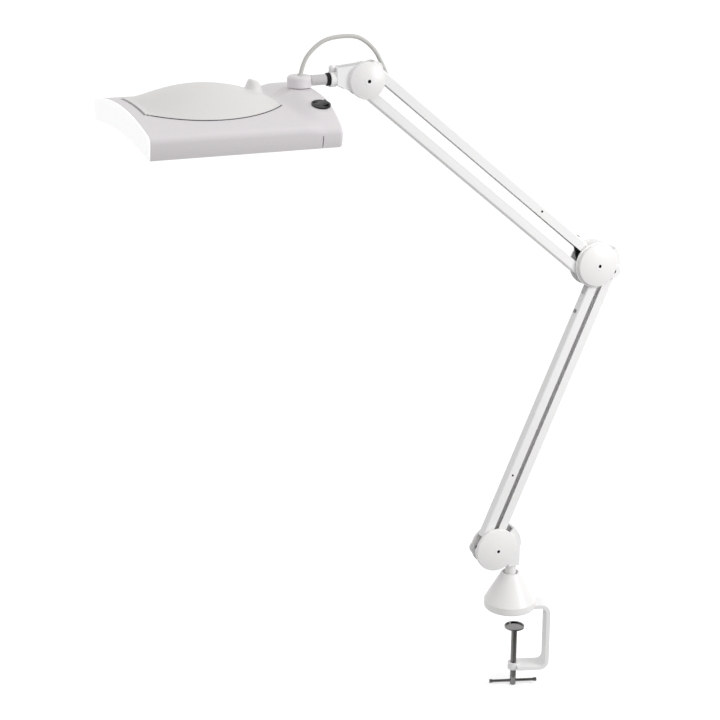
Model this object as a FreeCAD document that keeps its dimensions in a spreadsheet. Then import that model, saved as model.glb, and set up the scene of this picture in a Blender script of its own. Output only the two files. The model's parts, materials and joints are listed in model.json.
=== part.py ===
import FreeCAD, Part
import math
import os
import Sketcher

# A magnifier lamp on a C-clamp: two balanced parallelogram arms, a wrist with a turning neck, and a
# flat arched head that holds a large lens under a hinged cover, with two light strips beside it.
# Lengths are in millimetres and angles in degrees. The origin is on the swivel axis at the table
# top, +Z is up, and the arms lie in the X-Z plane with the head towards -X.

SIZES = (
    # clamp
    ("clamp_turn", 17, "turn of the clamp towards the front against the arms as they stand"),
    ("strip_width", 26, "width of the clamp's steel strip"),
    ("strip_thick", 5, "thickness of the strip"),
    ("strip_reach", 53, "swivel axis to the outer face of the upright"),
    ("strip_tail", 20, "upper jaw past the swivel axis"),
    ("strip_bend", 8, "inside radius of the strip's bends"),
    ("jaw_drop", 85, "table top down to the lower jaw"),
    ("jaw_boss_radius", 7.5, "threaded boss of the lower jaw"),
    ("jaw_boss_height", 9, "height of the threaded boss"),
    ("screw_offset", 7.5, "swivel axis to the clamp screw"),
    ("screw_radius", 4, "clamp screw"),
    ("screw_tip", 1.6, "depth of the screw's tip in the pad"),
    ("screw_tail", 5.3, "screw below the tommy bar"),
    ("pad_drop", 29, "table top down to the pad as it stands"),
    ("pad_radius", 13.3, "clamp pad"),
    ("pad_height", 4, "height of the pad"),
    ("pad_dish", 1.5, "depth of the pad's dished top"),
    ("pad_rim", 1.8, "rim round the dish"),
    ("tommy_drop", 81.5, "pad top down to the tommy bar"),
    ("tommy_radius", 2.1, "tommy bar"),
    ("tommy_length", 64, "length of the tommy bar"),
    ("tommy_knob_radius", 2.7, "upset ends of the tommy bar"),
    ("tommy_knob_length", 4, "length of each upset end"),
    # base
    ("cone_radius", 34, "rim of the base cover"),
    ("cone_height", 50, "top of the base cover"),
    ("cone_top_radius", 12, "top of the cone"),
    ("cone_mouth", 10.3, "opening in the top of the cone"),
    ("cone_skirt", 11, "height of the upright skirt"),
    ("cone_wall", 3.2, "wall of the base cover"),
    ("cone_rim_round", 2.6, "rounding of the lower rim"),
    ("cone_lift", 0.4, "rim above the table top"),
    ("bush_radius", 8.5, "socket that carries the post"),
    ("bush_flange_radius", 14, "foot of the socket"),
    ("bush_flange_height", 4, "height of the socket's foot"),
    ("bush_height", 41, "socket above the strip"),
    ("bush_floor", 3, "floor of the socket"),
    ("spigot_radius", 6, "riveted spigot of the socket"),
    ("post_radius", 6, "swivel post"),
    ("post_top", 79, "top of the post"),
    ("base_offset", 27.4, "swivel axis to the base pivot"),
    ("base_pivot_height", 90.5, "table top to the base pivot"),
    ("base_boss_radius", 7, "boss of the base bracket round the post"),
    ("base_foot_half", 8, "half the length of the bracket's solid foot"),
    ("base_block_bottom", 62, "underside of the bracket's solid foot"),
    ("base_cheek_radius", 26.5, "cheeks of the base bracket"),
    ("base_hood_radius", 37.5, "hood of the base bracket"),
    ("base_hood_start", 46, "hood's upper edge, from upright"),
    ("base_hood_end", 90, "hood's lower edge, from upright"),
    ("base_disc_radius", 28.6, "base cover disc"),
    # joints that all the arms share
    ("cheek_gap", 14.2, "clear width between the cheeks of a bracket"),
    ("cheek_thick", 2.4, "sheet of the brackets"),
    ("lobe_radius", 9, "cheek round an outlying pin"),
    ("pin_radius", 3, "pivot pins"),
    ("running_gap", 0.05, "radial clearance of what turns or slides"),
    ("rear_disc_radius", 14, "cover discs on the rear cheeks"),
    ("disc_edge", 4.5, "edge of a cover disc"),
    ("disc_dome", 4, "crown of a cover disc above its edge"),
    ("disc_round", 1.5, "rounding of a cover disc's edge"),
    ("cap_head_radius", 5, "head of a disc screw"),
    ("cap_head_height", 3, "height of that head"),
    ("cap_shank_radius", 2.5, "shank of a disc screw"),
    ("cap_socket_radius", 2.4, "hexagon socket, over its corners"),
    ("cap_socket_depth", 1.8, "depth of the socket"),
    # channels
    ("channel_width", 12.4, "flange of an arm channel"),
    ("channel_depth", 13, "web of an arm channel"),
    ("channel_wall", 1.2, "sheet of the channels"),
    ("channel_bend", 2.4, "outside bend of the channels"),
    ("web_cut", 18, "web cut back from a pivot"),
    ("elbow_cut", 33, "web of the lower arm cut back from the elbow"),
    ("lead_cut", 30, "web cut back where the lead goes in"),
    ("web_screw_radius", 2.4, "spring screw in a web"),
    ("web_screw_height", 1.2, "head of that screw"),
    ("web_screw_shank", 1.4, "shank of that screw"),
    # lower arm and elbow
    ("lower_spacing", 20.1, "level distance between the lower arm's channels"),
    ("lower_length", 391, "lower arm from pin to pin"),
    ("lower_lean", 23.8, "lower arm from upright as it stands"),
    ("lower_screw_from_elbow", 57, "spring screw of the lower arm, from the elbow"),
    ("elbow_lower_x", 5.5, "elbow centre to the lower arm's pin"),
    ("elbow_lower_z", -11, "elbow centre to the lower arm's pin"),
    ("elbow_upper_x", 3.6, "elbow centre to the upper arm's pin"),
    ("elbow_upper_z", 5.9, "elbow centre to the upper arm's pin"),
    ("elbow_cheek_radius", 29.3, "cheeks of the elbow bracket"),
    ("elbow_hood_radius", 33.5, "hood of the elbow bracket"),
    ("elbow_hood_start", 54, "hood's upper edge, from upright"),
    ("elbow_hood_end", 95, "hood's lower edge, from upright"),
    ("elbow_disc_radius", 27, "elbow cover disc"),
    # upper arm and wrist
    ("upper_spacing", 26.3, "distance between the upper arm's channels"),
    ("upper_spacing_angle", 50, "slope of the line through the upper arm's two pins"),
    ("upper_length", 399.5, "upper arm from pin to pin"),
    ("upper_rise", 39.9, "upper arm from level as it stands"),
    ("upper_screw_from_elbow", 41.2, "spring screw of the upper arm, from the elbow"),
    ("wrist_upper_x", 11.6, "wrist centre to the upper arm's pin"),
    ("wrist_upper_z", 12.3, "wrist centre to the upper arm's pin"),
    ("wrist_cheek_radius", 20, "cheeks of the wrist bracket"),
    ("wrist_disc_radius", 21.6, "wrist cover disc"),
    ("wrist_nose", 36, "wrist centre to the bracket's nose"),
    ("wrist_nose_top", 16.1, "top of the nose above the wrist centre"),
    ("wrist_nose_bottom", 3.4, "bottom of the nose below the wrist centre"),
    ("wrist_top_x", 8, "right end of the bracket's top edge"),
    ("wrist_top_z", 20.1, "height of that end"),
    ("wrist_floor_x", 22, "right end of the bracket's lower edge"),
    ("wrist_floor_z", 10.8, "depth of that end"),
    # springs inside the arms
    ("spring_wire", 1.6, "spring wire"),
    ("spring_radius", 3.6, "spring at the middle of its wire"),
    ("spring_pitch", 2.6, "one turn of a spring"),
    ("spring_turns", 22, "turns of a spring"),
    ("spring_start", 46, "first turn, from the arm's pivot"),
    ("plug_core", 8, "plug inside each end of a spring"),
    ("plug_flange", 2, "flange of a spring plug"),
    ("anchor_radius", 1.5, "cross pin that holds a spring"),
    ("link_thick", 3, "black pull links"),
    ("link_width", 8, "width of a pull link"),
    ("link_eye", 5.5, "eye of a pull link"),
    # neck
    ("neck_rise", 2.6, "neck axis above the wrist centre"),
    ("neck_radius", 5.1, "neck tube"),
    ("neck_bore", 3, "bore of the neck tube"),
    ("sleeve_radius", 9, "sleeve of the wrist bracket"),
    ("sleeve_length", 6.5, "length of the sleeve"),
    ("ring_radius", 7.6, "black friction ring"),
    ("ring_length", 4.2, "length of the friction ring"),
    ("neck_in_collar", 7, "end of the neck tube from the head's swivel axis"),
    ("neck_nut_radius", 6.6, "nut inside the wrist bracket, over its corners"),
    ("neck_nut_length", 6, "length of that nut"),
    ("lock_radius", 3.2, "lock screw on the sleeve"),
    ("lock_height", 7, "lock screw above the sleeve"),
    ("collar_reach", 79.3, "wrist centre to the head's swivel axis"),
    ("collar_radius", 14, "swivel collar"),
    ("collar_height", 13, "height of the collar"),
    ("collar_below_neck", 6.3, "collar's underside below the neck axis"),
    ("collar_round", 4, "rounding of the collar's top"),
    ("collar_gap", 0.8, "dark gap under the collar"),
    ("bolt_radius", 5, "hollow swivel bolt"),
    ("bolt_bore", 3, "bore of the swivel bolt"),
    ("bolt_in_collar", 7, "bolt inside the collar"),
    ("bolt_nut_radius", 9, "nut under the head's roof, over its corners"),
    ("bolt_nut_height", 5, "height of that nut"),
    ("gland_radius", 3.4, "lead gland on the collar"),
    ("gland_length", 3.2, "length of the gland"),
    ("gland_depth", 2, "gland's foot below the collar's top"),
    ("gland_offset", 1, "gland's foot from the swivel axis"),
    ("gland_bore", 1.6, "depth of the lead in the gland"),
    ("gland_lean", 12.4, "lean of the gland towards the arm"),
    ("lead_radius", 2.4, "head lead"),
    # head
    ("head_length", 218, "head, left end to right corners"),
    ("head_width", 238, "head across"),
    ("head_bow", 7, "right end bowed out at the middle"),
    ("head_roll", 1.6, "roll of the head about the neck as it stands, near side down"),
    ("head_crown", 38, "crown of the housing"),
    ("head_arch", 520, "radius of the housing's arched top"),
    ("head_foot_in", 3, "side wall drawn in at its lower edge"),
    ("head_shoulder", 8, "rounding of the shoulder"),
    ("head_belly", 8.5, "rise of the arched underside"),
    ("head_wall", 2.5, "wall of the housing"),
    ("collar_from_right", 7.4, "right corners back to the head's swivel axis"),
    ("block_start", 41, "right corners back to the start of the ramp to the raised end"),
    ("block_full", 18, "right corners back to the end of the ramp"),
    ("block_crown", 46, "crown of the raised end"),
    ("block_wall_height", 15.5, "widest place of the raised end above its lower edge"),
    ("block_top_angle", 5.5, "slope at the edge of the raised end's middle arc"),
    ("block_side_angle", 28, "slope at the outer edge of the raised end's side arcs"),
    ("end_round", 4, "rounding of the right end's upper edge"),
    ("end_cap_thick", 1.6, "white end cap"),
    ("slit_from_right", 23.7, "slit in the side wall, from the right corner"),
    ("slit_width", 1.2, "width of the slit"),
    ("slit_height", 14, "height of the slit"),
    # lens cover
    ("lid_left", 16.5, "left end to the cover's hinge edge"),
    ("lid_from_right", 46, "right corners back to the cover's free edge"),
    ("lid_wide_at", 93.5, "left end to the cover's widest place"),
    ("lid_from_side", 36.6, "side of the head to the cover's widest place"),
    ("lid_side_radius", 104, "rounded side of the cover"),
    ("lid_gap", 0.9, "seam round the cover"),
    ("lid_dome_height", 18.5, "cover's crown above the housing's"),
    ("lid_dome_radius", 158, "dome of the cover"),
    ("lid_wall", 2.2, "wall of the cover"),
    ("lid_lip", 0.9, "cover's edge above the housing"),
    ("lid_edge", 3.5, "cover's edge below the housing's face"),
    ("lid_rim", 5, "flat rim inside the cover"),
    ("ledge_width", 4, "ledge under the cover's edge"),
    ("ledge_gap", 0.3, "cover's edge above its ledge"),
    ("ledge_thick", 2.5, "ledge under the cover"),
    ("hinge_from_edge", 1.8, "hinge axis inside the hinge edge"),
    ("hinge_below_crown", 2.4, "hinge axis below the crown"),
    ("hinge_room", 4.2, "room round the hinge axis"),
    ("hinge_from_end", 4.8, "end of the hinge edge to a hinge lug's inner face"),
    ("hinge_lug", 3.6, "length of a hinge lug"),
    ("hinge_lug_radius", 1.6, "hinge lug"),
    ("hinge_pin_radius", 0.8, "hinge pin"),
    ("hinge_pin_length", 9, "length of a hinge pin"),
    ("tab_radius", 8.5, "foot of the finger tab"),
    ("tab_top_radius", 5.5, "rounded top of the tab"),
    ("tab_from_right", 15.5, "tab's centre inside the free edge"),
    ("tab_top", 57, "top of the tab"),
    ("scoop_radius", 24, "finger scoop"),
    ("scoop_from_right", 37, "right corners back to the scoop's centre"),
    ("scoop_depth", 1, "lowest place of the scoop below the crown"),
    # lens and lights
    ("lens_inset", 8, "lens inside the cover's outline"),
    ("lens_radius", 420, "curve of the lens"),
    ("lens_thick", 20, "lens at its middle"),
    ("lens_middle", 20, "middle plane of the lens"),
    ("lens_lip", 3, "lip that carries the lens"),
    ("seat_wall", 3, "wall round the lens"),
    ("seat_gap", 0.25, "clearance round the lens"),
    ("seat_top", 27, "top of the wall round the lens"),
    ("retainer_width", 2.5, "ring that holds the lens down"),
    ("frame_thick", 2.5, "lower frame"),
    ("frame_gap", 0.2, "frame inside the housing"),
    ("window_width", 17, "width of a light window"),
    ("window_from_side", 22, "side of the head to the middle of a light window"),
    ("window_start", 26, "left end to a light window"),
    ("window_from_right", 54, "right corners back to a light window"),
    ("diffuser_overlap", 2, "diffuser past its window"),
    ("diffuser_thick", 2, "diffuser"),
    ("board_width", 11, "light board"),
    ("board_thick", 1.6, "thickness of a light board"),
    ("board_rise", 10, "light board above the frame's upper face"),
    ("board_overhang", 9, "light board past its window"),
    ("pillar_from_window", 6, "pillar past the window"),
    ("pillar_radius", 2.6, "pillars that carry a light board"),
    ("driver_length", 26, "driver box"),
    ("driver_width", 56, "width of the driver box"),
    ("driver_height", 12, "height of the driver box"),
    ("driver_from_right", 12, "right corner to the driver box"),
    ("head_boss_radius", 4, "screw bosses in the housing"),
    ("head_screw_radius", 1.6, "housing screws"),
    ("head_screw_head", 3.2, "head of a housing screw"),
    ("head_screw_head_height", 1.4, "height of that head"),
    ("head_screw_length", 11, "housing screw in its boss"),
    ("head_boss_in_end", 9, "boss from the end cap"),
    ("head_boss_in_right", 14, "boss from the right corner"),
    ("head_boss_in_side", 8, "boss from the side wall"),
    # switch
    ("switch_from_right", 8.6, "switch from the right corner"),
    ("switch_from_side", 46.3, "side of the head to the middle of the switch"),
    ("switch_radius", 10.8, "switch bezel"),
    ("switch_bezel", 1.6, "bezel above the housing"),
    ("switch_sunk", 1.3, "bezel let into the housing"),
    ("switch_body_radius", 9.6, "switch body"),
    ("switch_body_depth", 13, "depth of the switch body"),
    ("rocker_half", 7.3, "half the rocker's length"),
    ("rocker_width", 10.4, "width of the rocker"),
    ("rocker_gap", 0.5, "rocker in its pit"),
    ("rocker_high", 2.6, "raised end above the rocker's axis"),
    ("rocker_low", 1.6, "pressed end below the rocker's axis"),
    ("rocker_middle", 0.9, "rocker's middle above its axis"),
    ("rocker_belly", 4.2, "rocker below its axis"),
    ("axle_radius", 0.8, "axle of the rocker"),
    ("axle_reach", 1.2, "axle in the bezel"),
    ("rocker_pit", 5.6, "floor of the rocker's pit below its axis"),
)

doc = FreeCAD.newDocument("MagnifierLamp")
sheet = doc.addObject("Spreadsheet::Sheet", "Sizes")
for row, (alias, number, meaning) in enumerate(SIZES, start=1):
    sheet.set(f"A{row}", meaning)
    sheet.set(f"B{row}", str(number))
    sheet.setAlias(f"B{row}", alias)
doc.recompute()


class Size:
    """A length or angle that knows its number and the sheet expression it comes from."""

    def __init__(self, number, text):
        self.number = float(number)
        self.text = text

    def __add__(self, other):
        other = as_size(other)
        return Size(self.number + other.number, f"({self.text} + {other.text})")

    def __sub__(self, other):
        other = as_size(other)
        return Size(self.number - other.number, f"({self.text} - {other.text})")

    def __mul__(self, other):
        other = as_size(other)
        return Size(self.number * other.number, f"({self.text} * {other.text})")

    def __truediv__(self, other):
        other = as_size(other)
        return Size(self.number / other.number, f"({self.text} / {other.text})")

    def __radd__(self, other):
        return as_size(other) + self

    def __rsub__(self, other):
        return as_size(other) - self

    def __rmul__(self, other):
        return as_size(other) * self

    def __neg__(self):
        return Size(-self.number, f"(0 - {self.text})")


def as_size(value):
    return value if isinstance(value, Size) else Size(value, repr(float(value)))


def sine(angle):
    angle = as_size(angle)
    return Size(math.sin(math.radians(angle.number)), f"sin({angle.text})")


def cosine(angle):
    angle = as_size(angle)
    return Size(math.cos(math.radians(angle.number)), f"cos({angle.text})")


def root(value):
    value = as_size(value)
    return Size(math.sqrt(value.number), f"sqrt({value.text})")


def arcsine(value):
    return Size(math.degrees(math.asin(value.number)), f"asin({value.text})")


class Sheet:
    """The sheet's sizes by name."""

    def __getattr__(self, alias):
        return Size(sheet.get(alias), f"Sizes.{alias}")


s = Sheet()
PARTS = {}
SKETCH_PLANES = {
    "XY": FreeCAD.Rotation(),
    "XZ": FreeCAD.Rotation(FreeCAD.Vector(1, 0, 0), 90),
    "YZ": FreeCAD.Rotation(FreeCAD.Vector(1, 1, 1), 120),
}
ROD_TURNS = {
    "x": FreeCAD.Rotation(FreeCAD.Vector(0, 1, 0), 90),
    "y": FreeCAD.Rotation(FreeCAD.Vector(1, 0, 0), -90),
    "z": FreeCAD.Rotation(),
    "-y": FreeCAD.Rotation(FreeCAD.Vector(1, 0, 0), 90),
}
X_AXIS = FreeCAD.Vector(1, 0, 0)
Y_AXIS = FreeCAD.Vector(0, 1, 0)
Z_AXIS = FreeCAD.Vector(0, 0, 1)


def bind(obj, name, value):
    """Ties one property of an object to the sheet."""
    obj.setExpression(name, as_size(value).text)


def place(obj, at=(0, 0, 0), turn=None, axis=None, angle=0):
    """Puts an object at a point, with a fixed turn or an angle from the sheet about an axis."""
    rotation = turn or FreeCAD.Rotation()
    if axis is not None:
        rotation = FreeCAD.Rotation(axis, as_size(angle).number)
    numbers = [as_size(value).number for value in at]
    obj.Placement = FreeCAD.Placement(FreeCAD.Vector(*numbers), rotation)
    for letter, value in zip("xyz", at):
        bind(obj, f"Placement.Base.{letter}", value)
    if axis is not None:
        bind(obj, "Placement.Rotation.Angle", angle)
    return obj


def block(name, low, high):
    """A box between two corners."""
    obj = doc.addObject("Part::Box", name)
    for side, a, b in zip(("Length", "Width", "Height"), low, high):
        bind(obj, side, as_size(b) - a)
    return place(obj, low)


def rod(name, radius, length, at, along="z"):
    """A cylinder from a point along an axis."""
    obj = doc.addObject("Part::Cylinder", name)
    bind(obj, "Radius", radius)
    bind(obj, "Height", length)
    return place(obj, at, turn=ROD_TURNS[along])


def ball(name, radius, at):
    obj = doc.addObject("Part::Sphere", name)
    bind(obj, "Radius", radius)
    return place(obj, at)


def hexagon(name, radius, length, at, along="z"):
    """A six-sided prism; its radius is taken over the corners."""
    obj = doc.addObject("Part::Prism", name)
    obj.Polygon = 6
    bind(obj, "Circumradius", radius)
    bind(obj, "Height", length)
    return place(obj, at, turn=ROD_TURNS[along])


def fuse(name, *pieces):
    obj = doc.addObject("Part::MultiFuse", name)
    obj.Shapes = list(pieces)
    obj.Refine = True
    return obj


def cut(name, piece, *tools):
    obj = doc.addObject("Part::Cut", name)
    obj.Base = piece
    obj.Tool = tools[0] if len(tools) == 1 else fuse(f"{name}Tools", *tools)
    obj.Refine = True
    return obj


def common(name, piece, tool):
    obj = doc.addObject("Part::Common", name)
    obj.Base = piece
    obj.Tool = tool
    obj.Refine = True
    return obj


def outline(name, corners, arcs=None, plane="XZ", at=(0, 0, 0)):
    """A closed sketch through corners; arcs gives the radius of each side that is bent.

    Side i runs from corner i to the next one. A positive radius turns left on its way, a negative
    one turns right, and every arc is less than a half circle.
    """
    arcs = arcs or {}
    sketch = doc.addObject("Sketcher::SketchObject", name)
    place(sketch, at, turn=SKETCH_PLANES[plane])
    corners = [(as_size(x), as_size(y)) for x, y in corners]
    spots = [FreeCAD.Vector(x.number, y.number, 0) for x, y in corners]
    count = len(corners)
    ends = []
    for i in range(count):
        start, stop = spots[i], spots[(i + 1) % count]
        if i not in arcs:
            sketch.addGeometry(Part.LineSegment(start, stop))
            ends.append((1, 2))
            continue
        radius = as_size(arcs[i])
        chord = stop - start
        left = FreeCAD.Vector(-chord.y, chord.x, 0) / chord.Length
        reach = math.sqrt(max(radius.number ** 2 - chord.Length ** 2 / 4, 0.0))
        centre = (start + stop) / 2 + left * math.copysign(reach, radius.number)
        first, last = (start, stop) if radius.number > 0 else (stop, start)
        angles = [math.atan2(p.y - centre.y, p.x - centre.x) for p in (first, last)]
        circle = Part.Circle(centre, Z_AXIS, abs(radius.number))
        sketch.addGeometry(Part.ArcOfCircle(circle, *angles))
        ends.append((1, 2) if radius.number > 0 else (2, 1))
    for i in range(count):
        before = (i - 1) % count
        sketch.addConstraint(Sketcher.Constraint("Coincident", before, ends[before][1], i, ends[i][0]))
    for i, (x, y) in enumerate(corners):
        for kind, value in (("DistanceX", x), ("DistanceY", y)):
            rule = sketch.addConstraint(Sketcher.Constraint(kind, -1, 1, i, ends[i][0], value.number))
            sketch.setExpression(f"Constraints[{rule}]", value.text)
    for i, radius in arcs.items():
        radius = as_size(radius)
        size = radius if radius.number > 0 else -radius
        rule = sketch.addConstraint(Sketcher.Constraint("Radius", i, size.number))
        sketch.setExpression(f"Constraints[{rule}]", size.text)
    return sketch


def extrude(name, sketch, length, both_ways=False):
    """Pushes a sketch out along its normal."""
    obj = doc.addObject("Part::Extrusion", name)
    obj.Base = sketch
    obj.DirMode = "Normal"
    obj.Solid = True
    obj.Symmetric = both_ways
    bind(obj, "LengthFwd", length)
    return obj


def spin(name, sketch):
    """Turns a sketch in the X-Z plane round the Z axis."""
    obj = doc.addObject("Part::Revolution", name)
    obj.Source = sketch
    obj.Axis = Z_AXIS
    obj.Base = FreeCAD.Vector()
    obj.Angle = 360
    obj.Solid = True
    return obj


def publish(node, obj):
    """Gives a finished sub-part its name."""
    obj.Label = node
    PARTS[node] = obj
    return obj


# Places that several sub-parts share

BASE_PIVOT = (-s.base_offset, s.base_pivot_height)
LOWER_LEFT_PIN = (BASE_PIVOT[0] - s.lower_spacing, BASE_PIVOT[1])
ELBOW_LEFT_PIN = (LOWER_LEFT_PIN[0] + s.lower_length * sine(s.lower_lean),
                  LOWER_LEFT_PIN[1] + s.lower_length * cosine(s.lower_lean))
ELBOW_RIGHT_PIN = (ELBOW_LEFT_PIN[0] + s.lower_spacing, ELBOW_LEFT_PIN[1])
ELBOW = (ELBOW_LEFT_PIN[0] - s.elbow_lower_x, ELBOW_LEFT_PIN[1] - s.elbow_lower_z)
ELBOW_TOP_PIN = (ELBOW[0] + s.elbow_upper_x, ELBOW[1] + s.elbow_upper_z)
UPPER_STEP = (-s.upper_spacing * cosine(s.upper_spacing_angle),
              -s.upper_spacing * sine(s.upper_spacing_angle))
ELBOW_LOW_PIN = (ELBOW_TOP_PIN[0] + UPPER_STEP[0], ELBOW_TOP_PIN[1] + UPPER_STEP[1])
WRIST_TOP_PIN = (ELBOW_TOP_PIN[0] - s.upper_length * cosine(s.upper_rise),
                 ELBOW_TOP_PIN[1] + s.upper_length * sine(s.upper_rise))
WRIST_LOW_PIN = (WRIST_TOP_PIN[0] + UPPER_STEP[0], WRIST_TOP_PIN[1] + UPPER_STEP[1])
WRIST = (WRIST_TOP_PIN[0] - s.wrist_upper_x, WRIST_TOP_PIN[1] - s.wrist_upper_z)
NECK_Z = WRIST[1] + s.neck_rise
SWIVEL_X = WRIST[0] - s.collar_reach
COLLAR_Z = NECK_Z - s.collar_below_neck
HEAD_X = SWIVEL_X - s.head_length + s.collar_from_right
HEAD_DROP = s.collar_below_neck + s.collar_gap + s.block_crown
CHEEK_IN = s.cheek_gap / 2
CHEEK_OUT = CHEEK_IN + s.cheek_thick
DISC_FACE = s.disc_edge + s.disc_dome


# Clamp

def clamp_frame():
    reach, bend, thick = s.strip_reach, s.strip_bend, s.strip_thick
    inner, outer = reach - thick, bend + thick
    floor = -s.jaw_drop
    jaw_end = s.screw_offset + s.jaw_boss_radius / 2
    corners = [(-s.strip_tail, 0), (inner - bend, 0), (inner, -bend), (inner, floor + bend),
               (inner - bend, floor), (jaw_end, floor), (jaw_end, floor - thick),
               (reach - outer, floor - thick), (reach, floor - thick + outer), (reach, thick - outer),
               (reach - outer, thick), (-s.strip_tail, thick)]
    strip = extrude("ClampStrip", outline("ClampLine", corners, {1: -bend, 3: -bend, 7: outer, 9: outer}),
                    s.strip_width, both_ways=True)
    boss_low = floor - thick / 2 - s.jaw_boss_height / 2
    boss = rod("JawBoss", s.jaw_boss_radius, s.jaw_boss_height, (s.screw_offset, 0, boss_low))
    thread = rod("JawThread", s.screw_radius + s.running_gap, s.jaw_boss_height,
                 (s.screw_offset, 0, boss_low))
    rivet_hole = rod("JawRivetHole", s.spigot_radius, thick, (0, 0, 0))
    frame = cut("ClampFrame", fuse("ClampBlank", strip, boss), thread, rivet_hole)
    publish("clamp_frame", place(frame, axis=-Z_AXIS, angle=s.clamp_turn))


def clamp_screw_parts():
    turn = s.clamp_turn
    at = (s.screw_offset * cosine(turn), -s.screw_offset * sine(turn))
    top = -s.pad_drop
    socket = s.screw_radius + s.running_gap
    pad_line = outline("PadLine", [
        (0, s.pad_height - s.pad_dish), (s.pad_radius - s.pad_rim, s.pad_height - s.pad_dish),
        (s.pad_radius - s.pad_rim, s.pad_height), (s.pad_radius, s.pad_height),
        (s.pad_radius, s.pad_height / 2), (socket + s.pad_rim, 0), (socket, 0), (socket, s.screw_tip),
        (0, s.screw_tip)])
    publish("clamp_pad", place(spin("ClampPad", pad_line), (at[0], at[1], top - s.pad_height)))

    tip = top - s.pad_height + s.screw_tip - s.running_gap
    tommy_z = top - s.tommy_drop
    shaft = rod("ScrewShaft", s.screw_radius, tip - tommy_z + s.screw_tail, (0, 0, tommy_z - s.screw_tail))
    hole = rod("ScrewHole", s.tommy_radius + s.running_gap, s.screw_radius * 2,
               (-s.screw_radius, 0, tommy_z), "x")
    screw = cut("ClampScrew", shaft, hole)
    publish("clamp_screw", place(screw, (at[0], at[1], 0), axis=-Z_AXIS, angle=turn))

    half = s.tommy_length / 2
    bar = rod("TommyRod", s.tommy_radius, s.tommy_length, (-half, 0, tommy_z), "x")
    left = rod("TommyLeft", s.tommy_knob_radius, s.tommy_knob_length, (-half, 0, tommy_z), "x")
    right = rod("TommyRight", s.tommy_knob_radius, s.tommy_knob_length,
                (half - s.tommy_knob_length, 0, tommy_z), "x")
    tommy = fuse("TommyBar", bar, left, right)
    publish("tommy_bar", place(tommy, (at[0], at[1], 0), axis=-Z_AXIS, angle=turn))


# Base

def base_cover():
    top, skirt, low = s.cone_height, s.cone_skirt, s.cone_lift
    ledge = s.strip_thick + s.bush_height
    bore = s.bush_radius + s.running_gap
    inside = s.cone_radius - s.cone_wall
    line = outline("ConeLine", [
        (s.cone_radius - s.cone_rim_round, low), (s.cone_radius, low + s.cone_rim_round),
        (s.cone_radius, skirt), (s.cone_top_radius, top), (s.cone_mouth, top), (s.cone_mouth, ledge),
        (bore, ledge), (bore, top - 3 * s.cone_wall),
        (inside, skirt - s.cone_wall / 2), (inside, low)], {0: s.cone_rim_round})
    half = s.strip_width / 2 + s.running_gap
    slot = block("ConeSlot", (0, -half, 0),
                 (s.cone_radius + s.cone_wall, half, s.strip_thick + s.running_gap))
    corner = (-half * sine(s.clamp_turn), -half * cosine(s.clamp_turn), 0)
    place(slot, corner, axis=-Z_AXIS, angle=s.clamp_turn)
    publish("base_cone", cut("BaseCone", spin("ConeShell", line), slot))


def base_socket():
    foot = s.strip_thick
    spigot = rod("BushSpigot", s.spigot_radius, foot, (0, 0, 0))
    flange = rod("BushFlange", s.bush_flange_radius, s.bush_flange_height, (0, 0, foot))
    tube = rod("BushTube", s.bush_radius, s.bush_height, (0, 0, foot))
    bore = rod("BushBore", s.post_radius + s.running_gap, s.bush_height, (0, 0, foot + s.bush_floor))
    publish("pivot_bush", cut("PivotBush", fuse("BushBlank", spigot, flange, tube), bore))
    bottom = foot + s.bush_floor + s.running_gap
    publish("base_post", rod("BasePost", s.post_radius, s.post_top - bottom, (0, 0, bottom)))


# Brackets, discs and pins of the three arm joints

def cheek_disc(name, centre, radius):
    return rod(name, radius, CHEEK_OUT * 2, (centre[0], -CHEEK_OUT, centre[1]), "y")


def hood_sector(name, centre, radius, start, end, inner):
    """A pie piece of a bracket from the joint's centre, or only its outer wall."""
    def spot(r, angle):
        return (centre[0] + r * sine(angle), centre[1] + r * cosine(angle))
    if inner is None:
        corners = [(centre[0], centre[1]), spot(radius, end), spot(radius, start)]
        sketch = outline(f"{name}Line", corners, {1: radius})
    else:
        corners = [spot(inner, end), spot(radius, end), spot(radius, start), spot(inner, start)]
        sketch = outline(f"{name}Line", corners, {1: radius, 3: -inner})
    return extrude(name, sketch, CHEEK_OUT * 2, both_ways=True)


def joint_gap(name, centre, radius):
    """The room between a bracket's cheeks."""
    return rod(name, radius, CHEEK_IN * 2, (centre[0], -CHEEK_IN, centre[1]), "y")


def pin_holes(name, pins):
    return [rod(f"{name}{i}", s.pin_radius, CHEEK_OUT * 2, (x, -CHEEK_OUT, z), "y")
            for i, (x, z) in enumerate(pins)]


def screw_hole(name, centre):
    return rod(name, s.cap_shank_radius, CHEEK_OUT * 2, (centre[0], -CHEEK_OUT, centre[1]), "y")


def pins(node, name, spots):
    solids = pin_holes(name, spots)
    publish(node, fuse(f"{name}Set", *solids))


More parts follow.
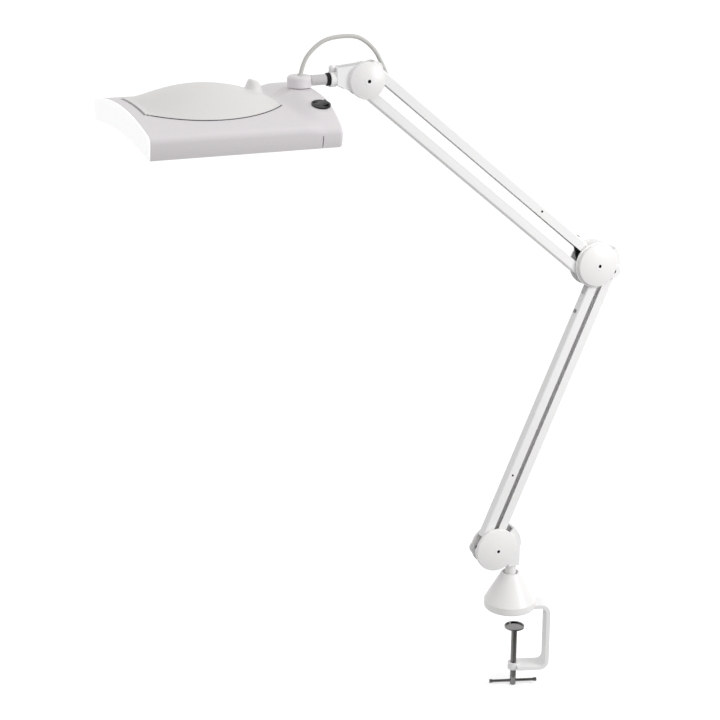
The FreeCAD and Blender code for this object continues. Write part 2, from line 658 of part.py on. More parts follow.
def cover_discs(joint, centre, radius):
    """A large domed disc in front and a small one behind, each held by one socket screw."""
    head, shank = s.cap_head_radius + s.running_gap, s.cap_shank_radius + s.running_gap
    seat = DISC_FACE - s.cap_head_height
    title = joint.capitalize()
    for side, turn, sign, radius in (("front", "-y", -1, radius), ("rear", "y", 1, s.rear_disc_radius)):
        edge = radius - s.disc_round
        dome = (edge * edge + s.disc_dome * s.disc_dome) / (2 * s.disc_dome)
        rim = DISC_FACE - dome + root(dome * dome - head * head)
        line = outline(f"{title}{side}DiscLine", [
            (shank, 0), (radius, 0), (radius, s.disc_edge - s.disc_round), (edge, s.disc_edge), (head, rim),
            (head, seat), (shank, seat)], {2: s.disc_round, 3: dome})
        disc = spin(f"{title}{side}Disc", line)
        middle = (centre[0], sign * CHEEK_OUT, centre[1])
        publish(f"{joint}_disc_{side}", place(disc, middle, turn=ROD_TURNS[turn]))
    screws = []
    for side, along, back, sign in (("Front", "-y", "y", -1), ("Rear", "y", "-y", 1)):
        shank_rod = rod(f"{title}{side}Shank", s.cap_shank_radius, s.cheek_thick + seat,
                        (centre[0], sign * CHEEK_IN, centre[1]), along)
        head_rod = rod(f"{title}{side}Head", s.cap_head_radius, s.cap_head_height,
                       (centre[0], sign * (CHEEK_OUT + seat), centre[1]), along)
        socket = hexagon(f"{title}{side}Socket", s.cap_socket_radius, s.cap_socket_depth,
                         (centre[0], sign * (CHEEK_OUT + DISC_FACE), centre[1]), back)
        screws.append(cut(f"{title}{side}Screw", fuse(f"{title}{side}Blank", shank_rod, head_rod), socket))
    publish(f"{joint}_disc_screws", fuse(f"{title}Screws", *screws))


def base_bracket():
    centre, arm_pin = BASE_PIVOT, LOWER_LEFT_PIN
    hood_in = s.base_hood_radius - s.cheek_thick
    cheek = cheek_disc("BaseCheek", centre, s.base_cheek_radius)
    lobe = cheek_disc("BaseLobe", arm_pin, s.lobe_radius)
    neck = block("BaseLobeNeck", (arm_pin[0], -CHEEK_OUT, arm_pin[1] - s.lobe_radius),
                 (centre[0], CHEEK_OUT, centre[1] + s.lobe_radius))
    sector = hood_sector("BaseSector", centre, s.base_hood_radius, s.base_hood_start, s.base_hood_end, None)
    foot = block("BaseFoot", (-s.base_foot_half, -CHEEK_OUT, s.base_block_bottom),
                 (s.base_foot_half, CHEEK_OUT, centre[1]))
    room = joint_gap("BaseRoom", centre, hood_in)
    outer_room = block("BaseOuterRoom", (arm_pin[0] - s.lobe_radius, -CHEEK_IN, arm_pin[1] - s.lobe_radius),
                       (centre[0], CHEEK_IN, arm_pin[1] + s.lobe_radius))
    plates = cut("BasePlates", fuse("BaseBlank", cheek, lobe, neck, sector, foot), room, outer_room)
    solid_foot = block("BaseSolidFoot", (-s.base_foot_half, -CHEEK_OUT, s.base_block_bottom),
                       (s.base_foot_half, CHEEK_OUT, s.post_top + s.cheek_thick))
    boss_low = s.strip_thick + s.bush_height + s.running_gap
    boss = rod("BaseBoss", s.base_boss_radius, s.base_block_bottom - boss_low, (0, 0, boss_low))
    post_hole = rod("BasePostHole", s.post_radius, s.post_top - boss_low, (0, 0, boss_low))
    holes = pin_holes("BasePinHole", (centre, arm_pin))
    bracket = cut("BaseBracket", fuse("BaseBody", plates, solid_foot, boss), post_hole, *holes)
    publish("base_bracket", bracket)
    # The right pin stands at the middle of the discs, so their screws go into its two ends.
    blanks = fuse("BasePinBlanks", *pin_holes("BasePin", (centre, arm_pin)))
    ends = []
    for along, sign in (("-y", -1), ("y", 1)):
        start = (centre[0], sign * CHEEK_IN, centre[1])
        ends.append(rod(f"BasePinEnd{along}", s.cap_shank_radius, s.cheek_thick, start, along))
    publish("base_pins", cut("BasePins", blanks, *ends))
    cover_discs("base", centre, s.base_disc_radius)


def elbow_bracket():
    centre = ELBOW
    spots = (ELBOW_LEFT_PIN, ELBOW_RIGHT_PIN, ELBOW_TOP_PIN, ELBOW_LOW_PIN)
    hood_in = s.elbow_hood_radius - s.cheek_thick
    cheek = cheek_disc("ElbowCheek", centre, s.elbow_cheek_radius)
    lobe = cheek_disc("ElbowLobe", ELBOW_RIGHT_PIN, s.lobe_radius)
    sector = hood_sector("ElbowSector", centre, s.elbow_hood_radius, s.elbow_hood_start,
                         s.elbow_hood_end, None)
    room = joint_gap("ElbowRoom", centre, hood_in)
    lobe_room = joint_gap("ElbowLobeRoom", ELBOW_RIGHT_PIN, s.lobe_radius)
    plates = cut("ElbowPlates", fuse("ElbowBlank", cheek, lobe, sector), room, lobe_room)
    hood = hood_sector("ElbowHood", centre, s.elbow_hood_radius, s.elbow_hood_start,
                       s.elbow_hood_end, hood_in)
    holes = pin_holes("ElbowPinHole", spots)
    bracket = cut("ElbowBracket", fuse("ElbowBody", plates, hood),
                  screw_hole("ElbowScrewHole", centre), *holes)
    publish("elbow_bracket", bracket)
    pins("elbow_pins", "ElbowPin", spots)
    cover_discs("elbow", centre, s.elbow_disc_radius)


def wrist_bracket():
    centre = WRIST
    spots = (WRIST_TOP_PIN, WRIST_LOW_PIN)
    x, z = centre
    nose = x - s.wrist_nose
    sheet_in = s.cheek_thick
    cheek = cheek_disc("WristCheek", centre, s.wrist_cheek_radius)
    lobe = cheek_disc("WristLobe", WRIST_TOP_PIN, s.lobe_radius)
    wedge_line = outline("WristWedgeLine", [
        (nose, z - s.wrist_nose_bottom), (x - s.wrist_floor_x, z - s.wrist_floor_z),
        (x, z - s.wrist_floor_z),
        (x + s.wrist_top_x, z + s.wrist_top_z), (nose, z + s.wrist_nose_top)])
    wedge = extrude("WristWedge", wedge_line, CHEEK_OUT * 2, both_ways=True)
    far = 2 * s.wrist_disc_radius
    room_line = outline("WristRoomLine", [
        (nose + sheet_in, z - far), (x + far, z - far), (x + far, z + far), (nose + sheet_in, z + far)])
    room = extrude("WristRoom", room_line, CHEEK_IN * 2, both_ways=True)
    sleeve = rod("WristSleeve", s.sleeve_radius, s.sleeve_length, (nose - s.sleeve_length, 0, NECK_Z), "x")
    bore = rod("WristBore", s.neck_radius + s.running_gap, s.sleeve_length + 2 * sheet_in,
               (nose - s.sleeve_length, 0, NECK_Z), "x")
    lock_x = nose - s.sleeve_length / 2
    lock_hole = rod("WristLockHole", s.lock_radius / 2, s.sleeve_radius, (lock_x, 0, NECK_Z))
    holes = pin_holes("WristPinHole", spots)
    body = fuse("WristBody", cut("WristPlates", fuse("WristBlank", cheek, lobe, wedge), room), sleeve)
    bracket = cut("WristBracket", body, bore, lock_hole, screw_hole("WristScrewHole", centre), *holes)
    publish("wrist_bracket", bracket)
    pins("wrist_pins", "WristPin", spots)
    cover_discs("wrist", centre, s.wrist_disc_radius)
    lock_low = NECK_Z + s.neck_radius + 2 * s.running_gap
    lock_top = NECK_Z + s.sleeve_radius
    stem = rod("LockStem", s.lock_radius / 2, lock_top - lock_low, (lock_x, 0, lock_low))
    cap = rod("LockCap", s.lock_radius, s.lock_height, (lock_x, 0, lock_top))
    publish("neck_lock_screw", fuse("LockScrew", stem, cap))
    ring = rod("RingBlank", s.ring_radius, s.ring_length,
               (nose - s.sleeve_length - s.ring_length, 0, NECK_Z), "x")
    ring_bore = rod("RingBore", s.neck_radius + s.running_gap, s.ring_length,
                    (nose - s.sleeve_length - s.ring_length, 0, NECK_Z), "x")
    publish("friction_ring", cut("FrictionRing", ring, ring_bore))


# Arm channels

def leaned(piece, start, lift):
    """Puts what was drawn along +X at an arm's first pin and leans it up by an angle."""
    axis = -Y_AXIS if lift.number > 0 else Y_AXIS
    angle = lift if lift.number > 0 else -lift
    return place(piece, (start[0], 0, start[1]), axis=axis, angle=angle)


def channel(node, start, lift, length, cuts, screw_at=None, pin_at=None):
    """A U-channel from its first pin, with rounded ears and its web cut back at both ends.

    It is drawn along +X with its web on top, then leaned up by the angle lift, so its web lies on
    the left of its way. Where asked, its web takes a screw and its flanges a cross pin.
    """
    title = "".join(word.capitalize() for word in node.split("_"))
    half, deep, wall, bend = s.channel_width / 2, s.channel_depth / 2, s.channel_wall, s.channel_bend
    inside = bend - wall
    section = outline(f"{title}Section", [
        (deep, -half), (deep, half - bend), (deep - bend, half), (bend - deep, half), (-deep, half - bend),
        (-deep, -half), (wall - deep, -half), (wall - deep, half - bend), (bend - deep, half - wall),
        (deep - bend, half - wall), (deep - wall, half - bend), (deep - wall, -half)],
        {1: bend, 3: bend, 7: -inside, 9: -inside}, plane="YZ")
    run = extrude(f"{title}Run", section, length)
    near_gap = block(f"{title}NearGap", (-half, wall - deep, -half), (cuts[0], deep - wall, half))
    far_gap = block(f"{title}FarGap", (length - cuts[1], wall - deep, -half),
                    (length + half, deep - wall, half))
    ears = []
    tools = [near_gap, far_gap]
    for end, x in (("Near", as_size(0)), ("Far", length)):
        ears.append(rod(f"{title}{end}Ear", half, 2 * deep, (x, -deep, 0), "y"))
        tools.append(rod(f"{title}{end}Hole", s.pin_radius + s.running_gap, 2 * deep, (x, -deep, 0), "y"))
    if screw_at is not None:
        tools.append(rod(f"{title}ScrewHole", s.web_screw_shank, wall, (screw_at, 0, half - wall)))
    if pin_at is not None:
        tools.append(rod(f"{title}PinHole", s.anchor_radius, 2 * deep, (pin_at, -deep, 0), "y"))
    publish(node, leaned(cut(f"{title}Bar", fuse(f"{title}Blank", run, *ears), *tools), start, lift))


def web_screw(node, start, lift, at):
    """A small round-headed screw in a channel's web."""
    title = "".join(word.capitalize() for word in node.split("_"))
    half = s.channel_width / 2
    shank = rod(f"{title}Shank", s.web_screw_shank, s.channel_wall, (at, 0, half - s.channel_wall))
    head = rod(f"{title}Head", s.web_screw_radius, s.web_screw_height, (at, 0, half))
    publish(node, leaned(fuse(f"{title}Set", shank, head), start, lift))


def biarc(start, start_way, stop, stop_way):
    """Two arcs from one point to another that leave and arrive along the given directions."""
    chord = stop - start
    total = start_way + stop_way
    square = 2 * (1 - start_way.dot(stop_way))
    along = chord.dot(total)
    reach = (-along + math.sqrt(along ** 2 + square * chord.dot(chord))) / square
    first, last = start + start_way * reach, stop - stop_way * reach
    middle = (first + last) / 2
    return [tangent_arc(start, start_way, middle), tangent_arc(middle, last - first, stop)]


def tangent_arc(start, way, stop):
    chord = stop - start
    way = FreeCAD.Vector(way).normalize()
    across = way - chord * (way.dot(chord) / chord.dot(chord))
    across.normalize()
    cosine_half = way.dot(chord) / chord.Length
    rise = chord.Length / 2 * math.sqrt((1 - cosine_half) / (1 + cosine_half))
    return Part.Arc(start, (start + stop) / 2 + across * rise, stop).toShape()


def coil(node, start, lift, first):
    """A close-wound tension spring along a channel, one unbroken wire."""
    radius, pitch = s.spring_radius.number, s.spring_pitch.number
    halves = int(round(s.spring_turns.number * 2))
    flat = 2 * math.pi * radius
    length = math.hypot(flat, pitch)

    def spot(half):
        angle = math.pi * half
        x = first.number + pitch * half / 2
        place_on = FreeCAD.Vector(x, radius * math.cos(angle), radius * math.sin(angle))
        way = FreeCAD.Vector(pitch, -flat * math.sin(angle), flat * math.cos(angle)) / length
        return place_on, way

    edges = []
    for half in range(halves):
        edges += biarc(*spot(half), *spot(half + 1))
    begin, way = spot(0)
    ring = Part.Wire(Part.makeCircle(s.spring_wire.number / 2, begin, way))
    piece = doc.addObject("Part::Feature", "".join(word.capitalize() for word in node.split("_")))
    piece.Shape = Part.Wire(edges).makePipeShell([ring], True, False)
    publish(node, leaned(piece, start, lift))
    print(node, "gap between turns", round(pitch - s.spring_wire.number, 2))


def spring_end(first):
    """How far along its channel a spring's cross pin stands."""
    wire = s.spring_wire / 2 + s.running_gap
    last = first + s.spring_pitch * s.spring_turns
    return last + wire + s.plug_flange + s.anchor_radius + s.running_gap


def spring_set(arm, start, lift, other_pin):
    """The spring of an arm with its plugs, its cross pin and the link that pulls it.

    The link leads from the pin of the arm's other channel to the near end of the spring.
    """
    title = arm.capitalize()
    first = s.spring_start
    coil(f"{arm}_spring", start, lift, first)
    last = first + s.spring_pitch * s.spring_turns
    core = s.spring_radius - s.spring_wire / 2 - s.running_gap
    brim = s.spring_radius + s.spring_wire / 2
    wire = s.spring_wire / 2 + s.running_gap
    near_face = first - wire - s.plug_flange
    near = fuse(f"{title}NearPlug",
                rod(f"{title}NearCore", core, s.plug_core + wire, (first - wire, 0, 0), "x"),
                rod(f"{title}NearFlange", brim, s.plug_flange, (near_face, 0, 0), "x"))
    far = fuse(f"{title}FarPlug",
               rod(f"{title}FarCore", core, s.plug_core + wire, (last - s.plug_core, 0, 0), "x"),
               rod(f"{title}FarFlange", brim, s.plug_flange, (last + wire, 0, 0), "x"))
    publish(f"{arm}_spring_plugs", leaned(fuse(f"{title}Plugs", near, far), start, lift))

    def along(distance):
        return (start[0] + distance * cosine(lift), start[1] + distance * sine(lift))

    deep = s.channel_depth / 2
    x, z = along(spring_end(first))
    publish(f"{arm}_spring_pin", rod(f"{title}SpringPin", s.anchor_radius, 2 * deep, (x, -deep, z), "y"))
    tip = along(near_face - s.link_width / 2 - s.running_gap)
    thick = s.link_thick
    eye = rod(f"{title}LinkEye", s.link_eye, thick, (other_pin[0], -thick / 2, other_pin[1]), "y")
    end = rod(f"{title}LinkEnd", s.link_width / 2, thick, (tip[0], -thick / 2, tip[1]), "y")
    dx, dz = tip[0] - other_pin[0], tip[1] - other_pin[1]
    span = root(dx * dx + dz * dz)
    side = (-dz / span * s.link_width / 2, dx / span * s.link_width / 2)
    strut = extrude(f"{title}LinkStrut", outline(f"{title}LinkLine", [
        (other_pin[0] - side[0], other_pin[1] - side[1]), (tip[0] - side[0], tip[1] - side[1]),
        (tip[0] + side[0], tip[1] + side[1]), (other_pin[0] + side[0], other_pin[1] + side[1])]),
        thick, both_ways=True)
    hole = rod(f"{title}LinkHole", s.pin_radius + s.running_gap, thick,
               (other_pin[0], -thick / 2, other_pin[1]), "y")
    publish(f"{arm}_pull_link", cut(f"{title}PullLink", fuse(f"{title}LinkBlank", eye, end, strut), hole))


def arms():
    lower_lift = 90 - s.lower_lean
    down_lift = -(90 + s.lower_lean)
    upper_lift = 180 - s.upper_rise
    back_lift = -s.upper_rise
    lower_screw = s.lower_length - s.lower_screw_from_elbow
    upper_screw = s.upper_length - s.upper_screw_from_elbow
    pin_at = spring_end(s.spring_start)
    ends = (s.web_cut, s.web_cut)
    channel("lower_main_channel", LOWER_LEFT_PIN, lower_lift, s.lower_length, (s.web_cut, s.elbow_cut),
            lower_screw, pin_at)
    web_screw("lower_web_screw", LOWER_LEFT_PIN, lower_lift, lower_screw)
    channel("lower_link_channel", ELBOW_RIGHT_PIN, down_lift, s.lower_length, ends)
    spring_set("lower", LOWER_LEFT_PIN, lower_lift, BASE_PIVOT)
    channel("upper_main_channel", WRIST_TOP_PIN, back_lift, s.upper_length, (s.lead_cut, s.web_cut),
            upper_screw, s.upper_length - pin_at)
    web_screw("upper_web_screw", WRIST_TOP_PIN, back_lift, upper_screw)
    channel("upper_link_channel", ELBOW_LOW_PIN, upper_lift, s.upper_length, ends)
    spring_set("upper", ELBOW_TOP_PIN, upper_lift, ELBOW_LOW_PIN)


# Neck

def neck():
    inside = WRIST[0] - s.wrist_nose + s.cheek_thick + s.running_gap
    left = SWIVEL_X + s.neck_in_collar
    right = inside + s.neck_nut_length
    tube = rod("NeckBlank", s.neck_radius, right - left, (left, 0, NECK_Z), "x")
    bore = rod("NeckBore", s.neck_bore, right - left, (left, 0, NECK_Z), "x")
    publish("neck_tube", cut("NeckTube", tube, bore))
    nut = hexagon("NeckNutBlank", s.neck_nut_radius, s.neck_nut_length, (inside, 0, NECK_Z), "x")
    nut_hole = rod("NeckNutHole", s.neck_radius, s.neck_nut_length, (inside, 0, NECK_Z), "x")
    publish("neck_nut", cut("NeckNut", nut, nut_hole))

    bolt = s.bolt_radius + s.running_gap
    roof = s.bolt_in_collar + s.running_gap
    line = outline("CollarLine", [
        (bolt, 0), (s.collar_radius, 0), (s.collar_radius, s.collar_height - s.collar_round),
        (s.collar_radius - s.collar_round, s.collar_height), (0, s.collar_height), (0, roof), (bolt, roof)],
        {2: s.collar_round})
    blank = place(spin("CollarBlank", line), (SWIVEL_X, 0, COLLAR_Z))
    tube_hole = rod("CollarTubeHole", s.neck_radius, s.collar_radius, (left, 0, NECK_Z), "x")
    collar = cut("SwivelCollar", blank, tube_hole, gland_rod("CollarGlandHole", s.gland_radius, 0))
    publish("swivel_collar", rolled(collar))
    bore_start = s.gland_length - s.gland_bore
    bore = gland_rod("GlandBore", s.lead_radius + s.running_gap, bore_start)
    publish("lead_gland", rolled(cut("LeadGland", gland_rod("GlandBlank", s.gland_radius, 0), bore)))


def gland_rod(name, radius, start):
    """A rod on the gland's axis, from a distance above its foot up to its tip."""
    foot = COLLAR_Z + s.collar_height - s.gland_depth
    at = (SWIVEL_X + s.gland_offset + start * sine(s.gland_lean), 0, foot + start * cosine(s.gland_lean))
    return place(rod(name, radius, s.gland_length - start, (0, 0, 0)), at, axis=Y_AXIS, angle=s.gland_lean)


def rolled(piece):
    """Rolls a piece that was drawn in its place about the neck's axis, as the head stands."""
    at = (0, NECK_Z * sine(s.head_roll), NECK_Z - NECK_Z * cosine(s.head_roll))
    return place(piece, at, axis=X_AXIS, angle=s.head_roll)


# Head: drawn with its left end at x = 0 and its lower side edges at z = 0, then put in its place

HALF = s.head_width / 2
FOOT = HALF - s.head_foot_in
RIGHT = s.head_length + s.head_bow
BOW = (HALF * HALF + s.head_bow * s.head_bow) / (2 * s.head_bow)
BELLY = (FOOT * FOOT + s.head_belly * s.head_belly) / (2 * s.head_belly)
SHOULDER = s.head_shoulder
SIDE_SINE = (HALF - SHOULDER) / (s.head_arch - SHOULDER)
SIDE_COSINE = root(1 - SIDE_SINE * SIDE_SINE)
HALF_COSINE = root(1 - SIDE_SINE * SIDE_SINE / 4)
ARCH_Z = s.head_crown - s.head_arch
WALL = ARCH_Z + (s.head_arch - SHOULDER) * SIDE_COSINE

# The raised end has a middle arc and two tighter side arcs that meet smoothly; their radii follow
# from the slopes at their ends, the crown and the height of the widest place.
TOP_SINE, TOP_COSINE = sine(s.block_top_angle), cosine(s.block_top_angle)
EDGE_SINE, EDGE_COSINE = sine(s.block_side_angle), cosine(s.block_side_angle)
BLOCK_WIDE = HALF - SHOULDER * (1 - EDGE_SINE)
BLOCK_RISE = s.block_crown - s.block_wall_height - SHOULDER * EDGE_COSINE
BLOCK_SHARE = TOP_SINE * (TOP_COSINE - EDGE_COSINE) - (EDGE_SINE - TOP_SINE) * (1 - TOP_COSINE)
BLOCK_TOP = (BLOCK_WIDE * (TOP_COSINE - EDGE_COSINE) - (EDGE_SINE - TOP_SINE) * BLOCK_RISE) / BLOCK_SHARE
BLOCK_SIDE = (TOP_SINE * BLOCK_RISE - (1 - TOP_COSINE) * BLOCK_WIDE) / BLOCK_SHARE

PLAIN_SECTION = ((HALF, WALL), (s.head_arch * SIDE_SINE, ARCH_Z + s.head_arch * SIDE_COSINE),
                 (s.head_arch * SIDE_SINE / 2, ARCH_Z + s.head_arch * HALF_COSINE))
RAISED_SECTION = ((HALF, s.block_wall_height), (BLOCK_WIDE, s.block_wall_height + SHOULDER * EDGE_COSINE),
                  (BLOCK_TOP * TOP_SINE, s.block_crown - BLOCK_TOP * (1 - TOP_COSINE)))

LID_RIGHT = s.head_length - s.lid_from_right
LID_HALF = HALF - s.lid_from_side
LID_X = (s.lid_left + LID_RIGHT) / 2
BLOCK_START = s.head_length - s.block_start
BLOCK_FULL = s.head_length - s.block_full
COLLAR_X = s.head_length - s.collar_from_right
WINDOW_Y = HALF - s.window_from_side
WINDOW_LENGTH = s.head_length - s.window_from_right - s.window_start
SPOT_FACE = s.head_belly / 4
HINGE_X = s.lid_left + s.hinge_from_edge
HINGE_Z = s.head_crown - s.hinge_below_crown
SWITCH_X = s.head_length - s.switch_from_right
SWITCH_Y = HALF - s.switch_from_side
SWITCH_SINE = (SWITCH_Y - (BLOCK_TOP - BLOCK_SIDE) * TOP_SINE) / BLOCK_SIDE
SWITCH_COSINE = root(1 - SWITCH_SINE * SWITCH_SINE)
SWITCH_Z = s.block_crown - BLOCK_TOP + (BLOCK_TOP - BLOCK_SIDE) * TOP_COSINE + BLOCK_SIDE * SWITCH_COSINE
BOSSES = [(f"{end}{side}", x, sign * (FOOT - s.head_wall - s.head_boss_in_side))
          for end, x in (("Left", s.end_cap_thick + s.head_boss_in_end),
                         ("Right", s.head_length - s.head_boss_in_right))
          for side, sign in (("Near", -1), ("Far", 1))]


def on_head(x, y, z):
    """Where a point of the head stands on the lamp, with the head rolled about the neck's axis."""
    turn, rise = s.head_roll, z - HEAD_DROP
    return (HEAD_X + x, y * cosine(turn) - rise * sine(turn), NECK_Z + y * sine(turn) + rise * cosine(turn))


def in_head(node, piece):
    publish(node, place(piece, on_head(0, 0, as_size(0)), axis=X_AXIS, angle=s.head_roll))


def head_section(name, x, raised=0):
    """The head's section, from the plain arch to the raised end, or a mixture of the two."""
    def mixed(plain, high):
        return plain if raised == 0 else high if raised == 1 else plain + (high - plain) * raised

    def bent(plain, high):
        return plain if raised == 0 else high if raised == 1 else plain * high / mixed(high, plain)

    wide, edge, top = [(mixed(a[0], b[0]), mixed(a[1], b[1]))
                       for a, b in zip(PLAIN_SECTION, RAISED_SECTION)]
    wall = (s.head_foot_in * s.head_foot_in + wide[1] * wide[1]) / (2 * s.head_foot_in)
    side, middle = bent(s.head_arch, BLOCK_SIDE), bent(s.head_arch, BLOCK_TOP)
    half = [(FOOT, 0), wide, edge, top]
    corners = [(-FOOT, 0)] + half + [(-y, z) for y, z in reversed(half[1:])]
    arcs = {0: -BELLY, 1: wall, 2: SHOULDER, 3: side, 4: middle, 5: side, 6: SHOULDER, 7: wall}
    return outline(name, corners, arcs, plane="YZ", at=(x, 0, 0))


def cavity_section(name, x):
    """The room inside the housing, open below."""
    side, corner = FOOT - s.head_wall, SHOULDER - s.head_wall
    roof = s.head_arch - s.head_wall
    low, high = -s.head_belly, ARCH_Z + root(roof * roof - (side - corner) * (side - corner))
    return outline(name, [
        (-side, low), (side, low), (side, high - corner), (side - corner, high), (corner - side, high),
        (-side, high - corner)], {2: corner, 3: roof, 4: corner}, plane="YZ", at=(x, 0, 0))


def bow(name, inset=0):
    """A tall cylinder whose right side is the bowed right end."""
    return rod(name, BOW - inset, 3 * s.block_crown, (RIGHT - BOW, 0, -s.block_crown))


def arch(name, rise=0):
    """Everything under the housing's arched top, raised or lowered."""
    return rod(name, s.head_arch + rise, RIGHT, (0, 0, ARCH_Z), "x")


def lid_corner(x, inset=0):
    """Half the width of the lens cover's outline at a place along the head."""
    radius, rest = s.lid_side_radius - inset, x - s.lid_wide_at
    return LID_HALF - s.lid_side_radius + root(radius * radius - rest * rest)


def cover_prism(name, inset, low=0, high=None):
    """The outline of the lens cover, drawn in by a distance, as an upright prism."""
    inset = as_size(inset)
    left, right, side = s.lid_left + inset, LID_RIGHT - inset, s.lid_side_radius - inset
    left_y, right_y = lid_corner(left, inset), lid_corner(right, inset)
    sketch = outline(f"{name}Line", [(left, -left_y), (right, -right_y), (right, right_y), (left, left_y)],
                     {0: side, 2: side}, plane="XY", at=(0, 0, low))
    return extrude(name, sketch, (high or 2 * s.block_crown) - low)


HINGE_START = lid_corner(s.lid_left) - s.hinge_from_end


def hinge_rods(name, radius, start, length):
    return [rod(f"{name}Near", radius, length, (HINGE_X, -start, HINGE_Z), "-y"),
            rod(f"{name}Far", radius, length, (HINGE_X, start, HINGE_Z), "y")]


def in_switch(piece, rise):
    """Puts a rod of the switch on the slope of the raised end, above or below the rocker's axis."""
    at = (SWITCH_X, -SWITCH_Y - rise * SWITCH_SINE, SWITCH_Z + rise * SWITCH_COSINE)
    return place(piece, at, axis=X_AXIS, angle=arcsine(SWITCH_SINE))


def rounded_end(name, piece):
    """Rounds the edge between the housing's top and walls and its bowed right end."""
    doc.recompute()
    centre = FreeCAD.Vector((RIGHT - BOW).number, 0, 0)
    picked = []
    for number, edge in enumerate(piece.Shape.Edges, start=1):
        spots = edge.discretize(5)
        reach = [math.hypot(spot.x - centre.x, spot.y) for spot in spots]
        on_end = all(abs(value - BOW.number) < 0.001 for value in reach)
        middle = spots[2]
        under = abs(middle.y) < FOOT.number / 2 and middle.z < s.head_crown.number / 2
        if on_end and not under:
            picked.append((number, s.end_round.number, s.end_round.number))
    obj = doc.addObject("Part::Fillet", name)
    obj.Base = piece
    obj.Edges = picked
    return obj


def head_shell():
    cap = s.end_cap_thick
    main = extrude("ShellMain", head_section("ShellMainLine", cap), BLOCK_START - cap)
    ramp = doc.addObject("Part::Loft", "ShellRamp")
    steps = []
    for label, part in (("Foot", 0), ("Low", 0.25), ("Half", 0.5), ("High", 0.75), ("Full", 1)):
        x = BLOCK_START + (BLOCK_FULL - BLOCK_START) * part
        steps.append(head_section(f"Ramp{label}Line", x, part * part * (3 - 2 * part)))
    ramp.Sections = steps
    ramp.Solid = True
    ramp.Ruled = False
    raised = extrude("ShellRaised", head_section("RaisedLine", BLOCK_FULL, 1), RIGHT - BLOCK_FULL)
    square = common("ShellSquare", fuse("ShellBlank", main, ramp, raised), bow("ShellBow"))
    outer = rounded_end("ShellOuter", square)
    cavity = common("ShellCavity", extrude("CavityRun", cavity_section("CavityLine", cap), RIGHT - cap),
                    bow("CavityBow", s.head_wall))
    shelf = s.lid_edge + s.ledge_gap
    ledge_ring = cut("LedgeRing", cover_prism("LedgeOuter", -3 * s.lid_gap),
                     cover_prism("LedgeInner", s.ledge_width))
    ledge_band = cut("LedgeBand", arch("LedgeTop", -s.head_wall / 2),
                     arch("LedgeUnder", -shelf - s.ledge_thick))
    ledge = common("Ledge", ledge_ring, ledge_band)
    boss_low = SPOT_FACE + s.frame_thick
    boss_high = s.head_crown - s.head_shoulder - s.head_wall
    bosses = [rod(f"Boss{name}", s.head_boss_radius, boss_high - boss_low, (x, y, boss_low))
              for name, x, y in BOSSES]
    posts = common("BossPosts", fuse("BossRods", *bosses), arch("BossRoof", -s.head_wall / 2))
    body = fuse("ShellBody", cut("ShellHollow", outer, cavity), ledge, posts)
    opening = cut("LidOpening", cover_prism("LidOpeningPrism", -s.lid_gap), arch("LidOpeningFloor", -shelf))
    through = cover_prism("LidThrough", s.ledge_width)
    reach = lid_corner(s.lid_left) + 2 * s.lid_gap
    room = s.hinge_room
    hinge_slot = block("HingeSlot", (HINGE_X - room, -reach, HINGE_Z - room),
                       (HINGE_X + room, reach, 2 * s.block_crown))
    scoop_z = s.head_crown - s.scoop_depth + s.scoop_radius
    scoop = ball("Scoop", s.scoop_radius, (s.head_length - s.scoop_from_right, 0, scoop_z))
    bolt_hole = rod("BoltHole", s.bolt_radius, s.block_crown, (COLLAR_X, 0, s.head_crown / 2))
    slit_x = s.head_length - s.slit_from_right
    slit = block("Slit", (slit_x, -HALF - s.slit_width, -s.slit_width),
                 (slit_x + s.slit_width, s.slit_width - FOOT, s.slit_height))
    seat = in_switch(rod("SwitchSeat", s.switch_radius, s.block_crown, (0, 0, 0)), -s.switch_sunk)
    hole = in_switch(rod("SwitchHole", s.switch_body_radius, s.block_crown, (0, 0, 0)),
                     -s.switch_body_depth)
    screw_low = boss_low - s.running_gap
    screws = [rod(f"BossHole{name}", s.head_screw_radius, s.head_screw_length + s.running_gap,
                  (x, y, screw_low))
              for name, x, y in BOSSES]
    hinge_holes = hinge_rods("ShellPin", s.hinge_pin_radius, HINGE_START, s.hinge_pin_length)
    in_head("head_shell", cut("HeadShell", body, opening, through, hinge_slot, scoop, bolt_hole, slit,
                              seat, hole, *screws, *hinge_holes))


def lens_balls(name, swell):
    """The two balls that bound the lens, swollen outwards by a distance."""
    rise = s.lens_radius - s.lens_thick / 2 - swell
    return (ball(f"{name}Low", s.lens_radius, (LID_X, 0, s.lens_middle + rise)),
            ball(f"{name}High", s.lens_radius, (LID_X, 0, s.lens_middle - rise)))


def tilted(piece, x, sign, rise, wide=0):
    """Lays a piece on the slope of the frame's upper face above a light window.

    What was drawn round its own axis has no width; a plate drawn from its corner gives its width.
    """
    top = BELLY + s.frame_thick
    lean = WINDOW_Y / top
    upright = root(1 - lean * lean)
    y = sign * (WINDOW_Y + rise * lean) - wide / 2 * upright
    z = s.head_belly - BELLY + (top + rise) * upright + sign * wide / 2 * lean
    return place(piece, (x, y, z), axis=X_AXIS if sign < 0 else -X_AXIS, angle=arcsine(lean))


